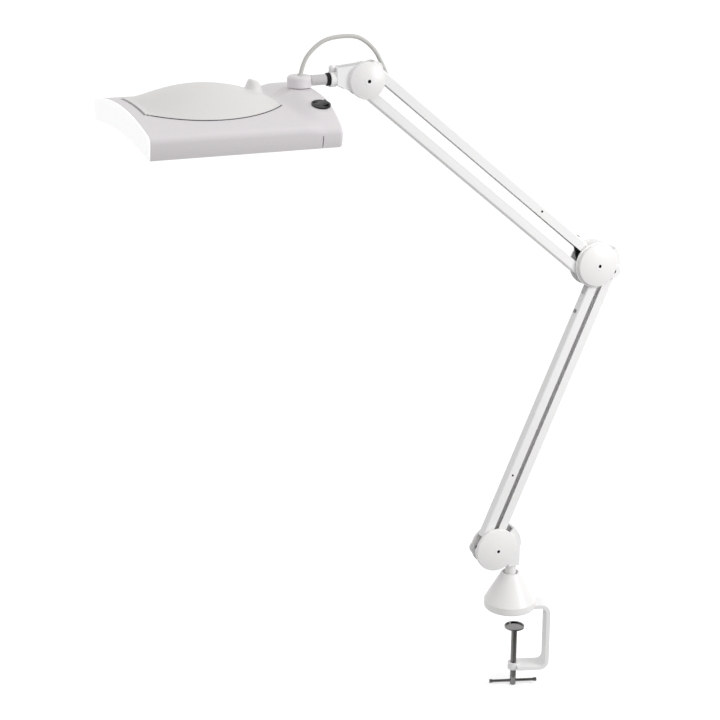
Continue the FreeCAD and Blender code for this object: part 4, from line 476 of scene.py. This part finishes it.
def in_flute(place):
    """True for the outer corners that lie in the bottom of a flute."""
    step = round(math.atan2(place.y, place.x) / (2 * math.pi) * FLUTES * STEPS_A_FLUTE)
    return math.hypot(place.x, place.y) > FLUTE_FROM * MM and step % STEPS_A_FLUTE in (1, 2)


select_where(ring, in_flute)
bpy.ops.transform.resize(value=(FLUTE_SHRINK, FLUTE_SHRINK, 1), center_override=(0, 0, 0))
bpy.ops.object.mode_set(mode="OBJECT")
put_in_place(ring, in_metres((RING_X, 0, NECK_Z)), (0, 1, 0), (1, 0, 0))
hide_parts("friction_ring")
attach(ring, "wrist")
print("friction ring:", len(ring.data.polygons), "faces")

# %% Turn the lock knob
KNOB_X = -248.946
KNOB_LOW = 717.0
ROUND_STEPS = 48
knob_line = [(0.0, 0.0), (1.6, 0.0), (1.6, 3.4), (3.3, 3.7), (3.75, 4.6), (3.9, 7.2), (3.6, 9.2),
             (2.7, 10.3), (1.3, 10.7), (0.0, 10.75)]
knob = drawn_line("lock_knob", knob_line)
turned(knob, ROUND_STEPS)
apply_modifier(knob, "SUBSURF", levels=1, render_levels=1)
clean(knob, sharp=50)
put_in_place(knob, in_metres((KNOB_X, 0, KNOB_LOW)), (1, 0, 0), (0, 0, 1))
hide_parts("neck_lock_screw")
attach(knob, "wrist")
print("lock knob:", [round(side, 4) for side in knob.dimensions])

# %% [markdown]
# ## Neck sleeve
# Between collar and friction ring the neck tube wears a thicker grey sleeve. It is turned from a line
# with small chamfers, because a sharp edge on a turned part would catch no light.

# %% Turn the neck sleeve
SLEEVE_X = -275.6
SLEEVE_LONG = 19.0
SLEEVE_OUT = 6.1
SLEEVE_BORE = 5.15
SLEEVE_CHAMFER = 0.3
sleeve_line = [(SLEEVE_BORE, 0.0), (SLEEVE_OUT - SLEEVE_CHAMFER, 0.0), (SLEEVE_OUT, SLEEVE_CHAMFER),
               (SLEEVE_OUT, SLEEVE_LONG - SLEEVE_CHAMFER), (SLEEVE_OUT - SLEEVE_CHAMFER, SLEEVE_LONG),
               (SLEEVE_BORE, SLEEVE_LONG), (SLEEVE_BORE, 0.0)]
sleeve = drawn_line("neck_sleeve", sleeve_line)
turned(sleeve, ROUND_STEPS)
put_in_place(sleeve, in_metres((SLEEVE_X, 0, NECK_Z)), (0, 1, 0), (1, 0, 0))
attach(sleeve, "neck")
print("neck sleeve:", [round(side, 4) for side in sleeve.dimensions])

# %% [markdown]
# ## Lens cover
# The cover over the lens is one moulding: a shallow dome that runs out to its rim on all sides and
# swells into a thumb tab near its free edge. The rim is straight at both ends and round at the sides. A
# sphere cut by a plate would leave a hard circle, so a fine grid is laid over the outline and each of its
# corners is raised by two smooth swells. A narrow strip by the hinge stays flat, so that the open cover
# clears the housing. Then the rim is extruded down and the sheet gets its wall.

# %% Shape the dome and the tab
HEAD_AT = (-499.596, 1.483, 658.629)
HEAD_ROLL = math.radians(1.6)
HEAD_PLACE = Matrix.Translation(in_metres(HEAD_AT)) @ Matrix.Rotation(HEAD_ROLL, 4, "X")
LID_LEFT, LID_RIGHT = 16.5, 172.0
LID_MIDDLE = (LID_LEFT + LID_RIGHT) / 2
LID_WIDE_AT, LID_HALF, LID_SIDE = 93.5, 82.4, 104.0
HEAD_CROWN, HEAD_ARCH = 38.0, 520.0
LID_LIP = 0.9
DOME_RISE = 17.6
DOME_START = 22.5
TAB_X, TAB_RISE = 156.0, 12.2
TAB_TOP, TAB_FOOT = 2.0, 11.0
TAB_ROUND = 2.6
TAB_BROAD = 1.1


def lid_half(x):
    """Half the width of the cover at a place along the head."""
    return LID_HALF - LID_SIDE + math.sqrt(LID_SIDE ** 2 - (x - LID_WIDE_AT) ** 2)


def arch_top(y):
    """Height of the housing's arched top."""
    return HEAD_CROWN - HEAD_ARCH + math.sqrt(HEAD_ARCH ** 2 - y ** 2)


def swell(distance, top, foot):
    """One on a broad round top, nothing beyond the foot, and a smooth slope between them."""
    share = min(max((foot - distance) / (foot - top), 0.0), 1.0)
    slope = share * share * (3 - 2 * share)
    return 1 - (1 - slope) ** TAB_ROUND


def on_cover(u, v):
    """A point of the cover's outside, for places from -1 to 1 along and across it."""
    x = LID_MIDDLE + u * (LID_RIGHT - LID_LEFT) / 2
    y = v * lid_half(x)
    along = (x - LID_MIDDLE) / (LID_MIDDLE - DOME_START) if x < LID_MIDDLE else u
    dome = DOME_RISE * max(1 - along * along, 0) * (1 - v * v)
    tab = TAB_RISE * swell(math.hypot(x - TAB_X, y / TAB_BROAD), TAB_TOP, TAB_FOOT)
    return Vector((x, y, arch_top(y) + LID_LIP + dome + tab)) * MM


def put_on_head(piece):
    """Moves a piece modelled in the head's own frame to where the head stands."""
    piece.matrix_world = HEAD_PLACE
    pick_only(piece)
    bpy.ops.object.transform_apply(location=True, rotation=True, scale=True)


# %% Lay the grid and give it a rim
LID_RIM = 4.0
LID_WALL = 2.0
LID_ROUND = 0.35
GRID_LINES = 130

bpy.ops.object.select_all(action="DESELECT")
bpy.ops.mesh.primitive_grid_add(x_subdivisions=GRID_LINES, y_subdivisions=GRID_LINES, size=2)
cover = bpy.context.object
cover.name = "domed_cover"
for corner in cover.data.vertices:
    corner.co = on_cover(corner.co.x, corner.co.y)
pick_only(cover)
bpy.ops.object.mode_set(mode="EDIT")
bpy.ops.mesh.select_mode(type="EDGE")
bpy.ops.mesh.select_all(action="DESELECT")
bpy.ops.mesh.select_non_manifold()
bpy.ops.mesh.duplicate()
bpy.ops.mesh.separate(type="SELECTED")
bpy.ops.mesh.select_all(action="DESELECT")
bpy.ops.mesh.select_non_manifold()
bpy.ops.mesh.extrude_region_move(TRANSFORM_OT_translate={"value": (0, 0, -LID_RIM * MM)})
bpy.ops.object.mode_set(mode="OBJECT")
rim_line = next(piece for piece in bpy.context.selected_objects if piece is not cover)
clean(cover, sharp=50)
apply_modifier(cover, "SOLIDIFY", thickness=LID_WALL * MM, offset=-1, use_even_offset=True)
apply_modifier(cover, "BEVEL", width=LID_ROUND * MM, segments=2, limit_method="ANGLE",
               angle_limit=math.radians(55))
pick_only(cover)
bpy.ops.object.shade_smooth_by_angle(angle=math.radians(50))
put_on_head(cover)
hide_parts("lens_cover")
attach(cover, "cover")
print("cover:", len(cover.data.polygons), "faces", [round(side, 4) for side in cover.dimensions])

# %% [markdown]
# ## Painted shade in the seam round the cover
# A thin black cord lies in the seam round the cover as painted shade, so that the seam shows as a dark
# line. It follows the rim, so the rim's own edge was copied before it was extruded; that line is widened
# to the middle of the seam, lowered so far that it just fills the step beside the rim, and given a round
# section. It stops short of the hinge edge, where the cover has to turn.

# %% Lay the painted seam shade
SEAM = 0.9
SEAM_SHADE_RADIUS = 0.42
SEAM_SHADE_DEPTH = 0.75
SEAM_SHADE_FROM = 21.0

rim_line.name = "cover_seam_shade"
select_where(rim_line, lambda place: place.x < SEAM_SHADE_FROM * MM)
bpy.ops.mesh.delete(type="VERT")
bpy.ops.mesh.select_all(action="SELECT")
wider = (1 + SEAM / (LID_RIGHT - LID_LEFT), 1 + SEAM / (2 * LID_HALF), 1)
bpy.ops.transform.resize(value=wider, center_override=in_metres((LID_MIDDLE, 0, 0)))
bpy.ops.transform.translate(value=(0, 0, -SEAM_SHADE_DEPTH * MM))
bpy.ops.object.mode_set(mode="OBJECT")
pick_only(rim_line)
bpy.ops.object.convert(target="CURVE")
seam_shade = bpy.context.object
seam_shade.data.bevel_depth = SEAM_SHADE_RADIUS * MM
seam_shade.data.bevel_resolution = 3
bpy.ops.object.convert(target="MESH")
seam_shade = bpy.context.object
clean(seam_shade, sharp=60)
put_on_head(seam_shade)
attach(seam_shade, "head")
print("seal:", len(seam_shade.data.polygons), "faces")

# %% [markdown]
# ## Switch rocker
# The rocker stands with its right half up and its left half pressed in. It is a block cut across its
# middle; the middle is raised a little and the right end lifted well above the bezel, and all edges are
# rounded.

# %% Shape the rocker
ROCKER_AT = (-290.196, -72.274, 695.436)
ROCKER_AXIS = (0, 0.9615311, 0.2746961)
ROCKER_HALF = (7.2, 6.2)
ROCKER_FOOT = -3.2
ROCKER_LEFT, ROCKER_MIDDLE, ROCKER_RIGHT = 0.9, 1.7, 4.3
ROCKER_ROUND = 0.8
BLOCK_HALF = 1.0

bpy.ops.object.select_all(action="DESELECT")
bpy.ops.mesh.primitive_cube_add(size=2 * BLOCK_HALF * MM)
rocker = bpy.context.object
rocker.name = "shaped_rocker"
rocker.scale = (*ROCKER_HALF, 1)
bpy.ops.object.transform_apply(location=True, rotation=True, scale=True)
select_where(rocker, lambda place: True)
bpy.ops.mesh.bisect(plane_co=(0, 0, 0), plane_no=(1, 0, 0))
bpy.ops.object.mode_set(mode="OBJECT")
for test, height in ((lambda place: place.z < 0, ROCKER_FOOT + BLOCK_HALF),
                     (lambda place: place.z > 0 and place.x < -MM, ROCKER_LEFT - BLOCK_HALF),
                     (lambda place: place.z > 0 and abs(place.x) < MM, ROCKER_MIDDLE - BLOCK_HALF),
                     (lambda place: place.z > 0 and place.x > MM, ROCKER_RIGHT - BLOCK_HALF)):
    select_where(rocker, test)
    bpy.ops.transform.translate(value=(0, 0, height * MM))
    bpy.ops.object.mode_set(mode="OBJECT")
apply_modifier(rocker, "BEVEL", width=ROCKER_ROUND * MM, segments=3, limit_method="ANGLE",
               angle_limit=math.radians(10))
clean(rocker, sharp=40)
put_in_place(rocker, in_metres(ROCKER_AT), (1, 0, 0), Vector((1, 0, 0)).cross(Vector(ROCKER_AXIS)))
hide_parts("switch_rocker")
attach(rocker, "rocker")
print("rocker:", [round(side, 4) for side in rocker.dimensions])

# %% [markdown]
# ## Floor, world and softbox
# The lamp was photographed on white, with its brightest light from the right: the elbow's disc is the
# whitest disc, and the head darkens towards its far left end. So one softbox stands in front of the lamp,
# to the right and a little above the head. The rest is a plain sky that is brighter above and in front,
# and a pale floor that throws some of the light back up. What the camera sees of floor and sky is white,
# and so is what shows through glass. In reflections the room behind the camera and the floor on that
# side are dim, which gives round metal its dark stripe.

# %% Helpers for light


def mix_number(tree, factor, low, high):
    """A number that goes from low to high as the factor goes from 0 to 1; either end may be a socket."""
    mixed = tree.nodes.new("ShaderNodeMix")
    tree.links.new(factor, mixed.inputs["Factor"])
    for socket, value in ((mixed.inputs[2], low), (mixed.inputs[3], high)):
        if isinstance(value, (int, float)):
            socket.default_value = value
        else:
            tree.links.new(value, socket)
    return mixed.outputs[0]


def either_ray(tree, *names):
    """One where a ray is of any of these kinds."""
    path = tree.nodes.new("ShaderNodeLightPath")
    found = path.outputs[names[0]]
    for name in names[1:]:
        larger = tree.nodes.new("ShaderNodeMath")
        larger.operation = "MAXIMUM"
        tree.links.new(found, larger.inputs[0])
        tree.links.new(path.outputs[name], larger.inputs[1])
        found = larger.outputs[0]
    return found


def towards(tree, direction, start, stop):
    """From 0 to 1 as a direction of the sky turns towards the given one."""
    where = tree.nodes.new("ShaderNodeTexCoord")
    facing = tree.nodes.new("ShaderNodeVectorMath")
    facing.operation = "DOT_PRODUCT"
    facing.inputs[1].default_value = Vector(direction).normalized()
    tree.links.new(where.outputs["Generated"], facing.inputs[0])
    share = tree.nodes.new("ShaderNodeMapRange")
    share.inputs["From Min"].default_value = start
    share.inputs["From Max"].default_value = stop
    tree.links.new(facing.outputs["Value"], share.inputs["Value"])
    return share.outputs["Result"]


# %% Sky
SKY_DIM = 0.4
SKY_BRIGHT = 0.97
SKY_TURN = (-0.05, -0.3, 0.95)
SKY_FADE = (-0.4, 1.0)
ROOM_DIM = 0.05
ROOM_TURN = (0, 1, 0.5)
ROOM_FADE = (-0.35, 0.25)

world = bpy.data.worlds.new("Studio")
bpy.context.scene.world = world
world.use_nodes = True
sky = world.node_tree
backdrop = sky.nodes["Background"]
backdrop.inputs["Color"].default_value = (1, 1, 1, 1)
sky_light = mix_number(sky, towards(sky, SKY_TURN, *SKY_FADE), SKY_DIM, SKY_BRIGHT)
room = mix_number(sky, towards(sky, ROOM_TURN, *ROOM_FADE), ROOM_DIM, 1.0)
mirrored = mix_number(sky, either_ray(sky, "Is Glossy Ray"), sky_light, room)
seen = either_ray(sky, "Is Camera Ray", "Is Transmission Ray")
sky.links.new(mix_number(sky, seen, mirrored, 1.0), backdrop.inputs["Strength"])
print("sky from", SKY_DIM, "to", SKY_BRIGHT)

# %% Softbox
BOX_AT = Vector((0.91, -1.05, 0.92))
BOX_AIM = Vector((0.0, 0.0, 0.45))
BOX_SIDE = 0.7
BOX_POWER = 10.6

bpy.ops.object.light_add(type="AREA", location=BOX_AT,
                         rotation=(BOX_AT - BOX_AIM).to_track_quat("Z", "Y").to_euler())
softbox = bpy.context.object
softbox.data.shape = "SQUARE"
softbox.data.size = BOX_SIDE
softbox.data.energy = BOX_POWER
softbox.visible_camera = False
print("softbox", round((BOX_AT - BOX_AIM).length, 2), "m away")

# %% Floor
FLOOR_SIZE = 40.0
FLOOR_GAP = 0.5
FLOOR_PALE = 0.46
FLOOR_SEEN = 0.8
FLOOR_LIFT = 0.42
FLOOR_DIM = 0.1
DIM_FADE = (-0.2, 0.02)

bpy.ops.mesh.primitive_plane_add(size=FLOOR_SIZE, location=(0, 0, cad_box[0][2] - FLOOR_GAP * MM))
floor = bpy.context.object
floor.name = "floor"
floor_finish = bpy.data.materials.new("White floor")
floor_finish.use_nodes = True
ground = floor_finish.node_tree
paint = ground.nodes["Principled BSDF"]
paint.inputs["Roughness"].default_value = 0.9
paint.inputs["Specular IOR Level"].default_value = 0.0
paint.inputs["Emission Color"].default_value = (1, 1, 1, 1)
spot = ground.nodes.new("ShaderNodeSeparateXYZ")
ground.links.new(ground.nodes.new("ShaderNodeTexCoord").outputs["Object"], spot.inputs["Vector"])
behind = ground.nodes.new("ShaderNodeMapRange")
behind.inputs["From Min"].default_value = DIM_FADE[0]
behind.inputs["From Max"].default_value = DIM_FADE[1]
ground.links.new(spot.outputs["Y"], behind.inputs["Value"])
plain_view = either_ray(ground, "Is Camera Ray", "Is Transmission Ray")
mirror_view = either_ray(ground, "Is Glossy Ray")
mirrored_paint = mix_number(ground, behind.outputs["Result"], FLOOR_DIM, FLOOR_SEEN)
mirrored_lift = mix_number(ground, behind.outputs["Result"], 0.0, FLOOR_LIFT)
lit_paint = mix_number(ground, mirror_view, FLOOR_PALE, mirrored_paint)
lit_lift = mix_number(ground, mirror_view, 0.0, mirrored_lift)
ground.links.new(mix_number(ground, plain_view, lit_paint, FLOOR_SEEN), paint.inputs["Base Color"])
ground.links.new(mix_number(ground, plain_view, lit_lift, FLOOR_LIFT), paint.inputs["Emission Strength"])
floor.data.materials.append(floor_finish)
bpy.context.scene.view_settings.view_transform = "Standard"
print("floor at", round(floor.location.z, 4))

# %% [markdown]
# ## Shared surface effects
# Real finishes are never perfectly even. Moulded plastic has a fine spark-eroded grain, powder coat has
# the soft dimples called orange peel, drawn metal has streaks along its length, and every pale surface
# drifts a little in tone. Each effect is one node group with named inputs, built once and placed in many
# finishes with its own values. They all read Object coordinates, so a pattern stays on its piece.

# %% Helpers for node groups
SKIN_OUTPUTS = [("Height", "NodeSocketFloat"), ("Roughness", "NodeSocketFloat")]


def effect_group(name, inputs, outputs):
    """An empty shader group with its sockets, and its two end nodes."""
    group = bpy.data.node_groups.new(name, "ShaderNodeTree")
    for title, kind, value in inputs:
        socket = group.interface.new_socket(title, in_out="INPUT", socket_type=kind)
        socket.default_value = value
    for title, kind in outputs:
        group.interface.new_socket(title, in_out="OUTPUT", socket_type=kind)
    return group, group.nodes.new("NodeGroupInput"), group.nodes.new("NodeGroupOutput")


def noise_in(group, start, detail, rough):
    """A noise texture fed by the group's own coordinates and scale."""
    noise = group.nodes.new("ShaderNodeTexNoise")
    noise.inputs["Detail"].default_value = detail
    noise.inputs["Roughness"].default_value = rough
    group.links.new(start.outputs["Vector"], noise.inputs["Vector"])
    group.links.new(start.outputs["Scale"], noise.inputs["Scale"])
    return noise


def gloss_from(group, start, end, pattern):
    """Gives out a pattern as height, and as roughness between the group's two values."""
    gloss = group.nodes.new("ShaderNodeMapRange")
    group.links.new(pattern, gloss.inputs["Value"])
    group.links.new(start.outputs["Smooth"], gloss.inputs["To Min"])
    group.links.new(start.outputs["Rough"], gloss.inputs["To Max"])
    group.links.new(pattern, end.inputs["Height"])
    group.links.new(gloss.outputs["Result"], end.inputs["Roughness"])


# %% Tone drift
tone_drift, start, end = effect_group(
    "Tone drift",
    [("Vector", "NodeSocketVector", (0, 0, 0)), ("Scale", "NodeSocketFloat", 8.0),
     ("Light", "NodeSocketColor", (1, 1, 1, 1)), ("Dark", "NodeSocketColor", (0.9, 0.9, 0.9, 1))],
    [("Color", "NodeSocketColor")])
clouds = noise_in(tone_drift, start, 3.0, 0.55)
drift = tone_drift.nodes.new("ShaderNodeMix")
drift.data_type = "RGBA"
tone_drift.links.new(clouds.outputs["Fac"], drift.inputs["Factor"])
tone_drift.links.new(start.outputs["Light"], drift.inputs[6])
tone_drift.links.new(start.outputs["Dark"], drift.inputs[7])
tone_drift.links.new(drift.outputs[2], end.inputs["Color"])

# %% Moulded grain
moulded_grain, start, end = effect_group(
    "Moulded grain",
    [("Vector", "NodeSocketVector", (0, 0, 0)), ("Scale", "NodeSocketFloat", 900.0),
     ("Smooth", "NodeSocketFloat", 0.3), ("Rough", "NodeSocketFloat", 0.5)],
    SKIN_OUTPUTS)
sparks = noise_in(moulded_grain, start, 2.0, 0.6)
gloss_from(moulded_grain, start, end, sparks.outputs["Fac"])

# %% Orange peel
orange_peel, start, end = effect_group(
    "Orange peel",
    [("Vector", "NodeSocketVector", (0, 0, 0)), ("Scale", "NodeSocketFloat", 500.0),
     ("Smooth", "NodeSocketFloat", 0.3), ("Rough", "NodeSocketFloat", 0.5)],
    SKIN_OUTPUTS)
dimples = orange_peel.nodes.new("ShaderNodeTexVoronoi")
dimples.feature = "SMOOTH_F1"
orange_peel.links.new(start.outputs["Vector"], dimples.inputs["Vector"])
orange_peel.links.new(start.outputs["Scale"], dimples.inputs["Scale"])
gloss_from(orange_peel, start, end, dimples.outputs["Distance"])

# %% Drawn streaks
drawn_streaks, start, end = effect_group(
    "Drawn streaks",
    [("Vector", "NodeSocketVector", (0, 0, 0)), ("Scale", "NodeSocketFloat", 300.0),
     ("Stretch", "NodeSocketVector", (1, 1, 0.05)), ("Smooth", "NodeSocketFloat", 0.2),
     ("Rough", "NodeSocketFloat", 0.4)],
    SKIN_OUTPUTS)
pulled = drawn_streaks.nodes.new("ShaderNodeVectorMath")
pulled.operation = "MULTIPLY"
drawn_streaks.links.new(start.outputs["Vector"], pulled.inputs[0])
drawn_streaks.links.new(start.outputs["Stretch"], pulled.inputs[1])
streaks = drawn_streaks.nodes.new("ShaderNodeTexNoise")
streaks.inputs["Detail"].default_value = 3.0
drawn_streaks.links.new(pulled.outputs["Vector"], streaks.inputs["Vector"])
drawn_streaks.links.new(start.outputs["Scale"], streaks.inputs["Scale"])
gloss_from(drawn_streaks, start, end, streaks.outputs["Fac"])
print("effects:", [group.name for group in bpy.data.node_groups])

# %% [markdown]
# ## Finishes
# Each finish is one Principled BSDF. Its plain numbers sit on the shader's own sockets, and only what
# changes over the surface comes from an effect. Colours are written as they look on a screen, from 0 to
# 255, and turned into the linear numbers that the shader wants.

# %% Helpers for finishes


def screen_colour(red, green, blue):
    """A colour as a screen shows it, from 0 to 255, in linear light."""
    def linear(value):
        value /= 255
        return value / 12.92 if value <= 0.04045 else ((value + 0.055) / 1.055) ** 2.4
    return (linear(red), linear(green), linear(blue), 1.0)


def new_finish(name):
    """A new material with its tree, its shader and its Object coordinates."""
    finish = bpy.data.materials.new(name)
    finish.use_nodes = True
    tree = finish.node_tree
    where = tree.nodes.new("ShaderNodeTexCoord")
    return finish, tree, tree.nodes["Principled BSDF"], where.outputs["Object"]


def add_effect(tree, group, where, **values):
    """Places an effect in a finish with its own values."""
    effect = tree.nodes.new("ShaderNodeGroup")
    effect.node_tree = group
    tree.links.new(where, effect.inputs["Vector"])
    for title, value in values.items():
        effect.inputs[title].default_value = value
    return effect


def add_bump(tree, shader, height, depth, strength):
    """Turns an effect's height, in metres of depth, into the shader's normal."""
    bump = tree.nodes.new("ShaderNodeBump")
    bump.inputs["Strength"].default_value = strength
    bump.inputs["Distance"].default_value = depth
    tree.links.new(height, bump.inputs["Height"])
    tree.links.new(bump.outputs["Normal"], shader.inputs["Normal"])


# %% White powder coat


def powder_coat(name, light, dark):
    """A sprayed and baked coat with soft dimples."""
    finish, tree, shader, where = new_finish(name)
    tone = add_effect(tree, tone_drift, where, Scale=14.0, Light=light, Dark=dark)
    peel = add_effect(tree, orange_peel, where, Scale=620.0, Smooth=0.34, Rough=0.52)
    tree.links.new(tone.outputs["Color"], shader.inputs["Base Color"])
    tree.links.new(peel.outputs["Roughness"], shader.inputs["Roughness"])
    add_bump(tree, shader, peel.outputs["Height"], 0.05 * MM, 0.35)
    return finish


white_coat = powder_coat("White powder coat", screen_colour(248, 248, 247), screen_colour(244, 243, 243))

# %% Moulded plastics


def moulded(name, light, dark, smooth, rough, grain=0.2):
    """A plastic with the grain of its mould."""
    finish, tree, shader, where = new_finish(name)
    tone = add_effect(tree, tone_drift, where, Scale=9.0, Light=light, Dark=dark)
    skin = add_effect(tree, moulded_grain, where, Scale=1100.0, Smooth=smooth, Rough=rough)
    tree.links.new(tone.outputs["Color"], shader.inputs["Base Color"])
    tree.links.new(skin.outputs["Roughness"], shader.inputs["Roughness"])
    add_bump(tree, shader, skin.outputs["Height"], 0.03 * MM, grain)
    return finish


cover_white = moulded("White moulded covers", screen_colour(247, 246, 245), screen_colour(242, 241, 240),
                      0.26, 0.38)
head_grey = moulded("Pale moulded housing", screen_colour(228, 224, 226), screen_colour(223, 219, 222),
                    0.34, 0.5)
lid_grey = moulded("Pale moulded lens cover", screen_colour(229, 227, 225), screen_colour(225, 223, 222),
                   0.3, 0.44)
black_mould = moulded("Black moulded", screen_colour(22, 22, 23), screen_colour(16, 16, 17), 0.38, 0.55)
black_switch = moulded("Black switch", screen_colour(13, 13, 14), screen_colour(9, 9, 10), 0.16, 0.26,
                       grain=0.05)
lead_skin = moulded("Pale lead", screen_colour(208, 207, 203), screen_colour(200, 199, 195), 0.45, 0.6)
sleeve_grey = moulded("Grey neck sleeve", screen_colour(208, 205, 207), screen_colour(201, 198, 200),
                      0.3, 0.42)
board_white = moulded("White light board", screen_colour(238, 240, 232), screen_colour(230, 232, 224),
                      0.4, 0.6)

# %% Opal plastic with a painted glow


def opal(name, painted_glow):
    """A milky plastic that glows a little as painted light, so that it shows whiter than its lighting
    makes it.
    """
    finish, tree, shader, where = new_finish(name)
    tone = add_effect(tree, tone_drift, where, Scale=20.0, Light=screen_colour(252, 252, 252),
                      Dark=screen_colour(248, 248, 249))
    skin = add_effect(tree, moulded_grain, where, Scale=900.0, Smooth=0.32, Rough=0.46)
    tree.links.new(tone.outputs["Color"], shader.inputs["Base Color"])
    tree.links.new(tone.outputs["Color"], shader.inputs["Emission Color"])
    tree.links.new(skin.outputs["Roughness"], shader.inputs["Roughness"])
    # Painted light: the emission makes the cap glow though it is no lamp.
    shader.inputs["Emission Strength"].default_value = painted_glow
    shader.inputs["Subsurface Weight"].default_value = 0.2
    shader.inputs["Subsurface Radius"].default_value = (1.0, 1.0, 1.0)
    shader.inputs["Subsurface Scale"].default_value = 3 * MM
    return finish


# The end cap's glow is painted light; the cap is no lamp.
painted_glow_cap = opal("Opal end cap", 0.35)

# %% Metals


def drawn_metal(name, light, dark, smooth, rough, stretch):
    """A metal with streaks along the way it was drawn."""
    finish, tree, shader, where = new_finish(name)
    shader.inputs["Metallic"].default_value = 1.0
    tone = add_effect(tree, tone_drift, where, Scale=60.0, Light=light, Dark=dark)
    pull = add_effect(tree, drawn_streaks, where, Scale=420.0, Stretch=stretch, Smooth=smooth, Rough=rough)
    tree.links.new(tone.outputs["Color"], shader.inputs["Base Color"])
    tree.links.new(pull.outputs["Roughness"], shader.inputs["Roughness"])
    add_bump(tree, shader, pull.outputs["Height"], 0.02 * MM, 0.15)
    return finish


steel = drawn_metal("Plated steel", screen_colour(150, 149, 148), screen_colour(118, 117, 117),
                    0.1, 0.2, (1, 1, 0.08))
satin = drawn_metal("Satin plated tube", screen_colour(208, 205, 206), screen_colour(200, 197, 198),
                    0.42, 0.56, (0.05, 1, 1))

# %% Lens glass


def lens_glass():
    """Clear glass with faint smears."""
    finish, tree, shader, where = new_finish("Lens glass")
    shader.inputs["Base Color"].default_value = (0.97, 1.0, 0.99, 1.0)
    shader.inputs["Transmission Weight"].default_value = 1.0
    shader.inputs["IOR"].default_value = 1.5
    smears = add_effect(tree, moulded_grain, where, Scale=40.0, Smooth=0.01, Rough=0.05)
    tree.links.new(smears.outputs["Roughness"], shader.inputs["Roughness"])
    return finish


glass = lens_glass()

# %% [markdown]
# ## Every part gets its finish
# The record names a finish slot for each sub-part, so the scene looks its material up by that slot and
# no part is forgotten. The new pieces are dressed the same way; only the neck sleeve shows a grey of its
# own.

# %% Dress the measured parts
FINISHES = {
    "white_metal": white_coat, "cover_plastic": cover_white, "head_plastic": head_grey,
    "lid_plastic": lid_grey, "opal": painted_glow_cap, "black_plastic": black_mould, "black_gloss": black_switch,
    "lens_glass": glass, "steel": steel, "chrome": satin, "lead_cover": lead_skin, "board": board_white,
    "sleeve": sleeve_grey,
}


def dress(piece, slot):
    """Gives a piece one finish all over."""
    piece.data.materials.clear()
    piece.data.materials.append(FINISHES[slot])


node_slots = {part["node"]: part["material_slot"] for part in frame["record"]["subparts"]}
for name, piece in nodes.items():
    dress(piece, node_slots[name])
# The seam cord is black as painted shade in the seam.
made = {head_lead: "lead_cover", arm_lead: "lead_cover", screw: "steel", ring: "black_plastic",
        knob: "cover_plastic", sleeve: "sleeve", cover: "lid_plastic", seam_shade: "black_plastic",
        rocker: "black_gloss"}
made.update({spring: "steel" for spring in springs})
# The socket cups are black as painted shade in the sockets.
made.update({piece: "black_plastic" for piece in links + socket_shade_cups})
for piece, slot in made.items():
    dress(piece, slot)
print("dressed:", len(nodes), "parts and", len(made), "new pieces")
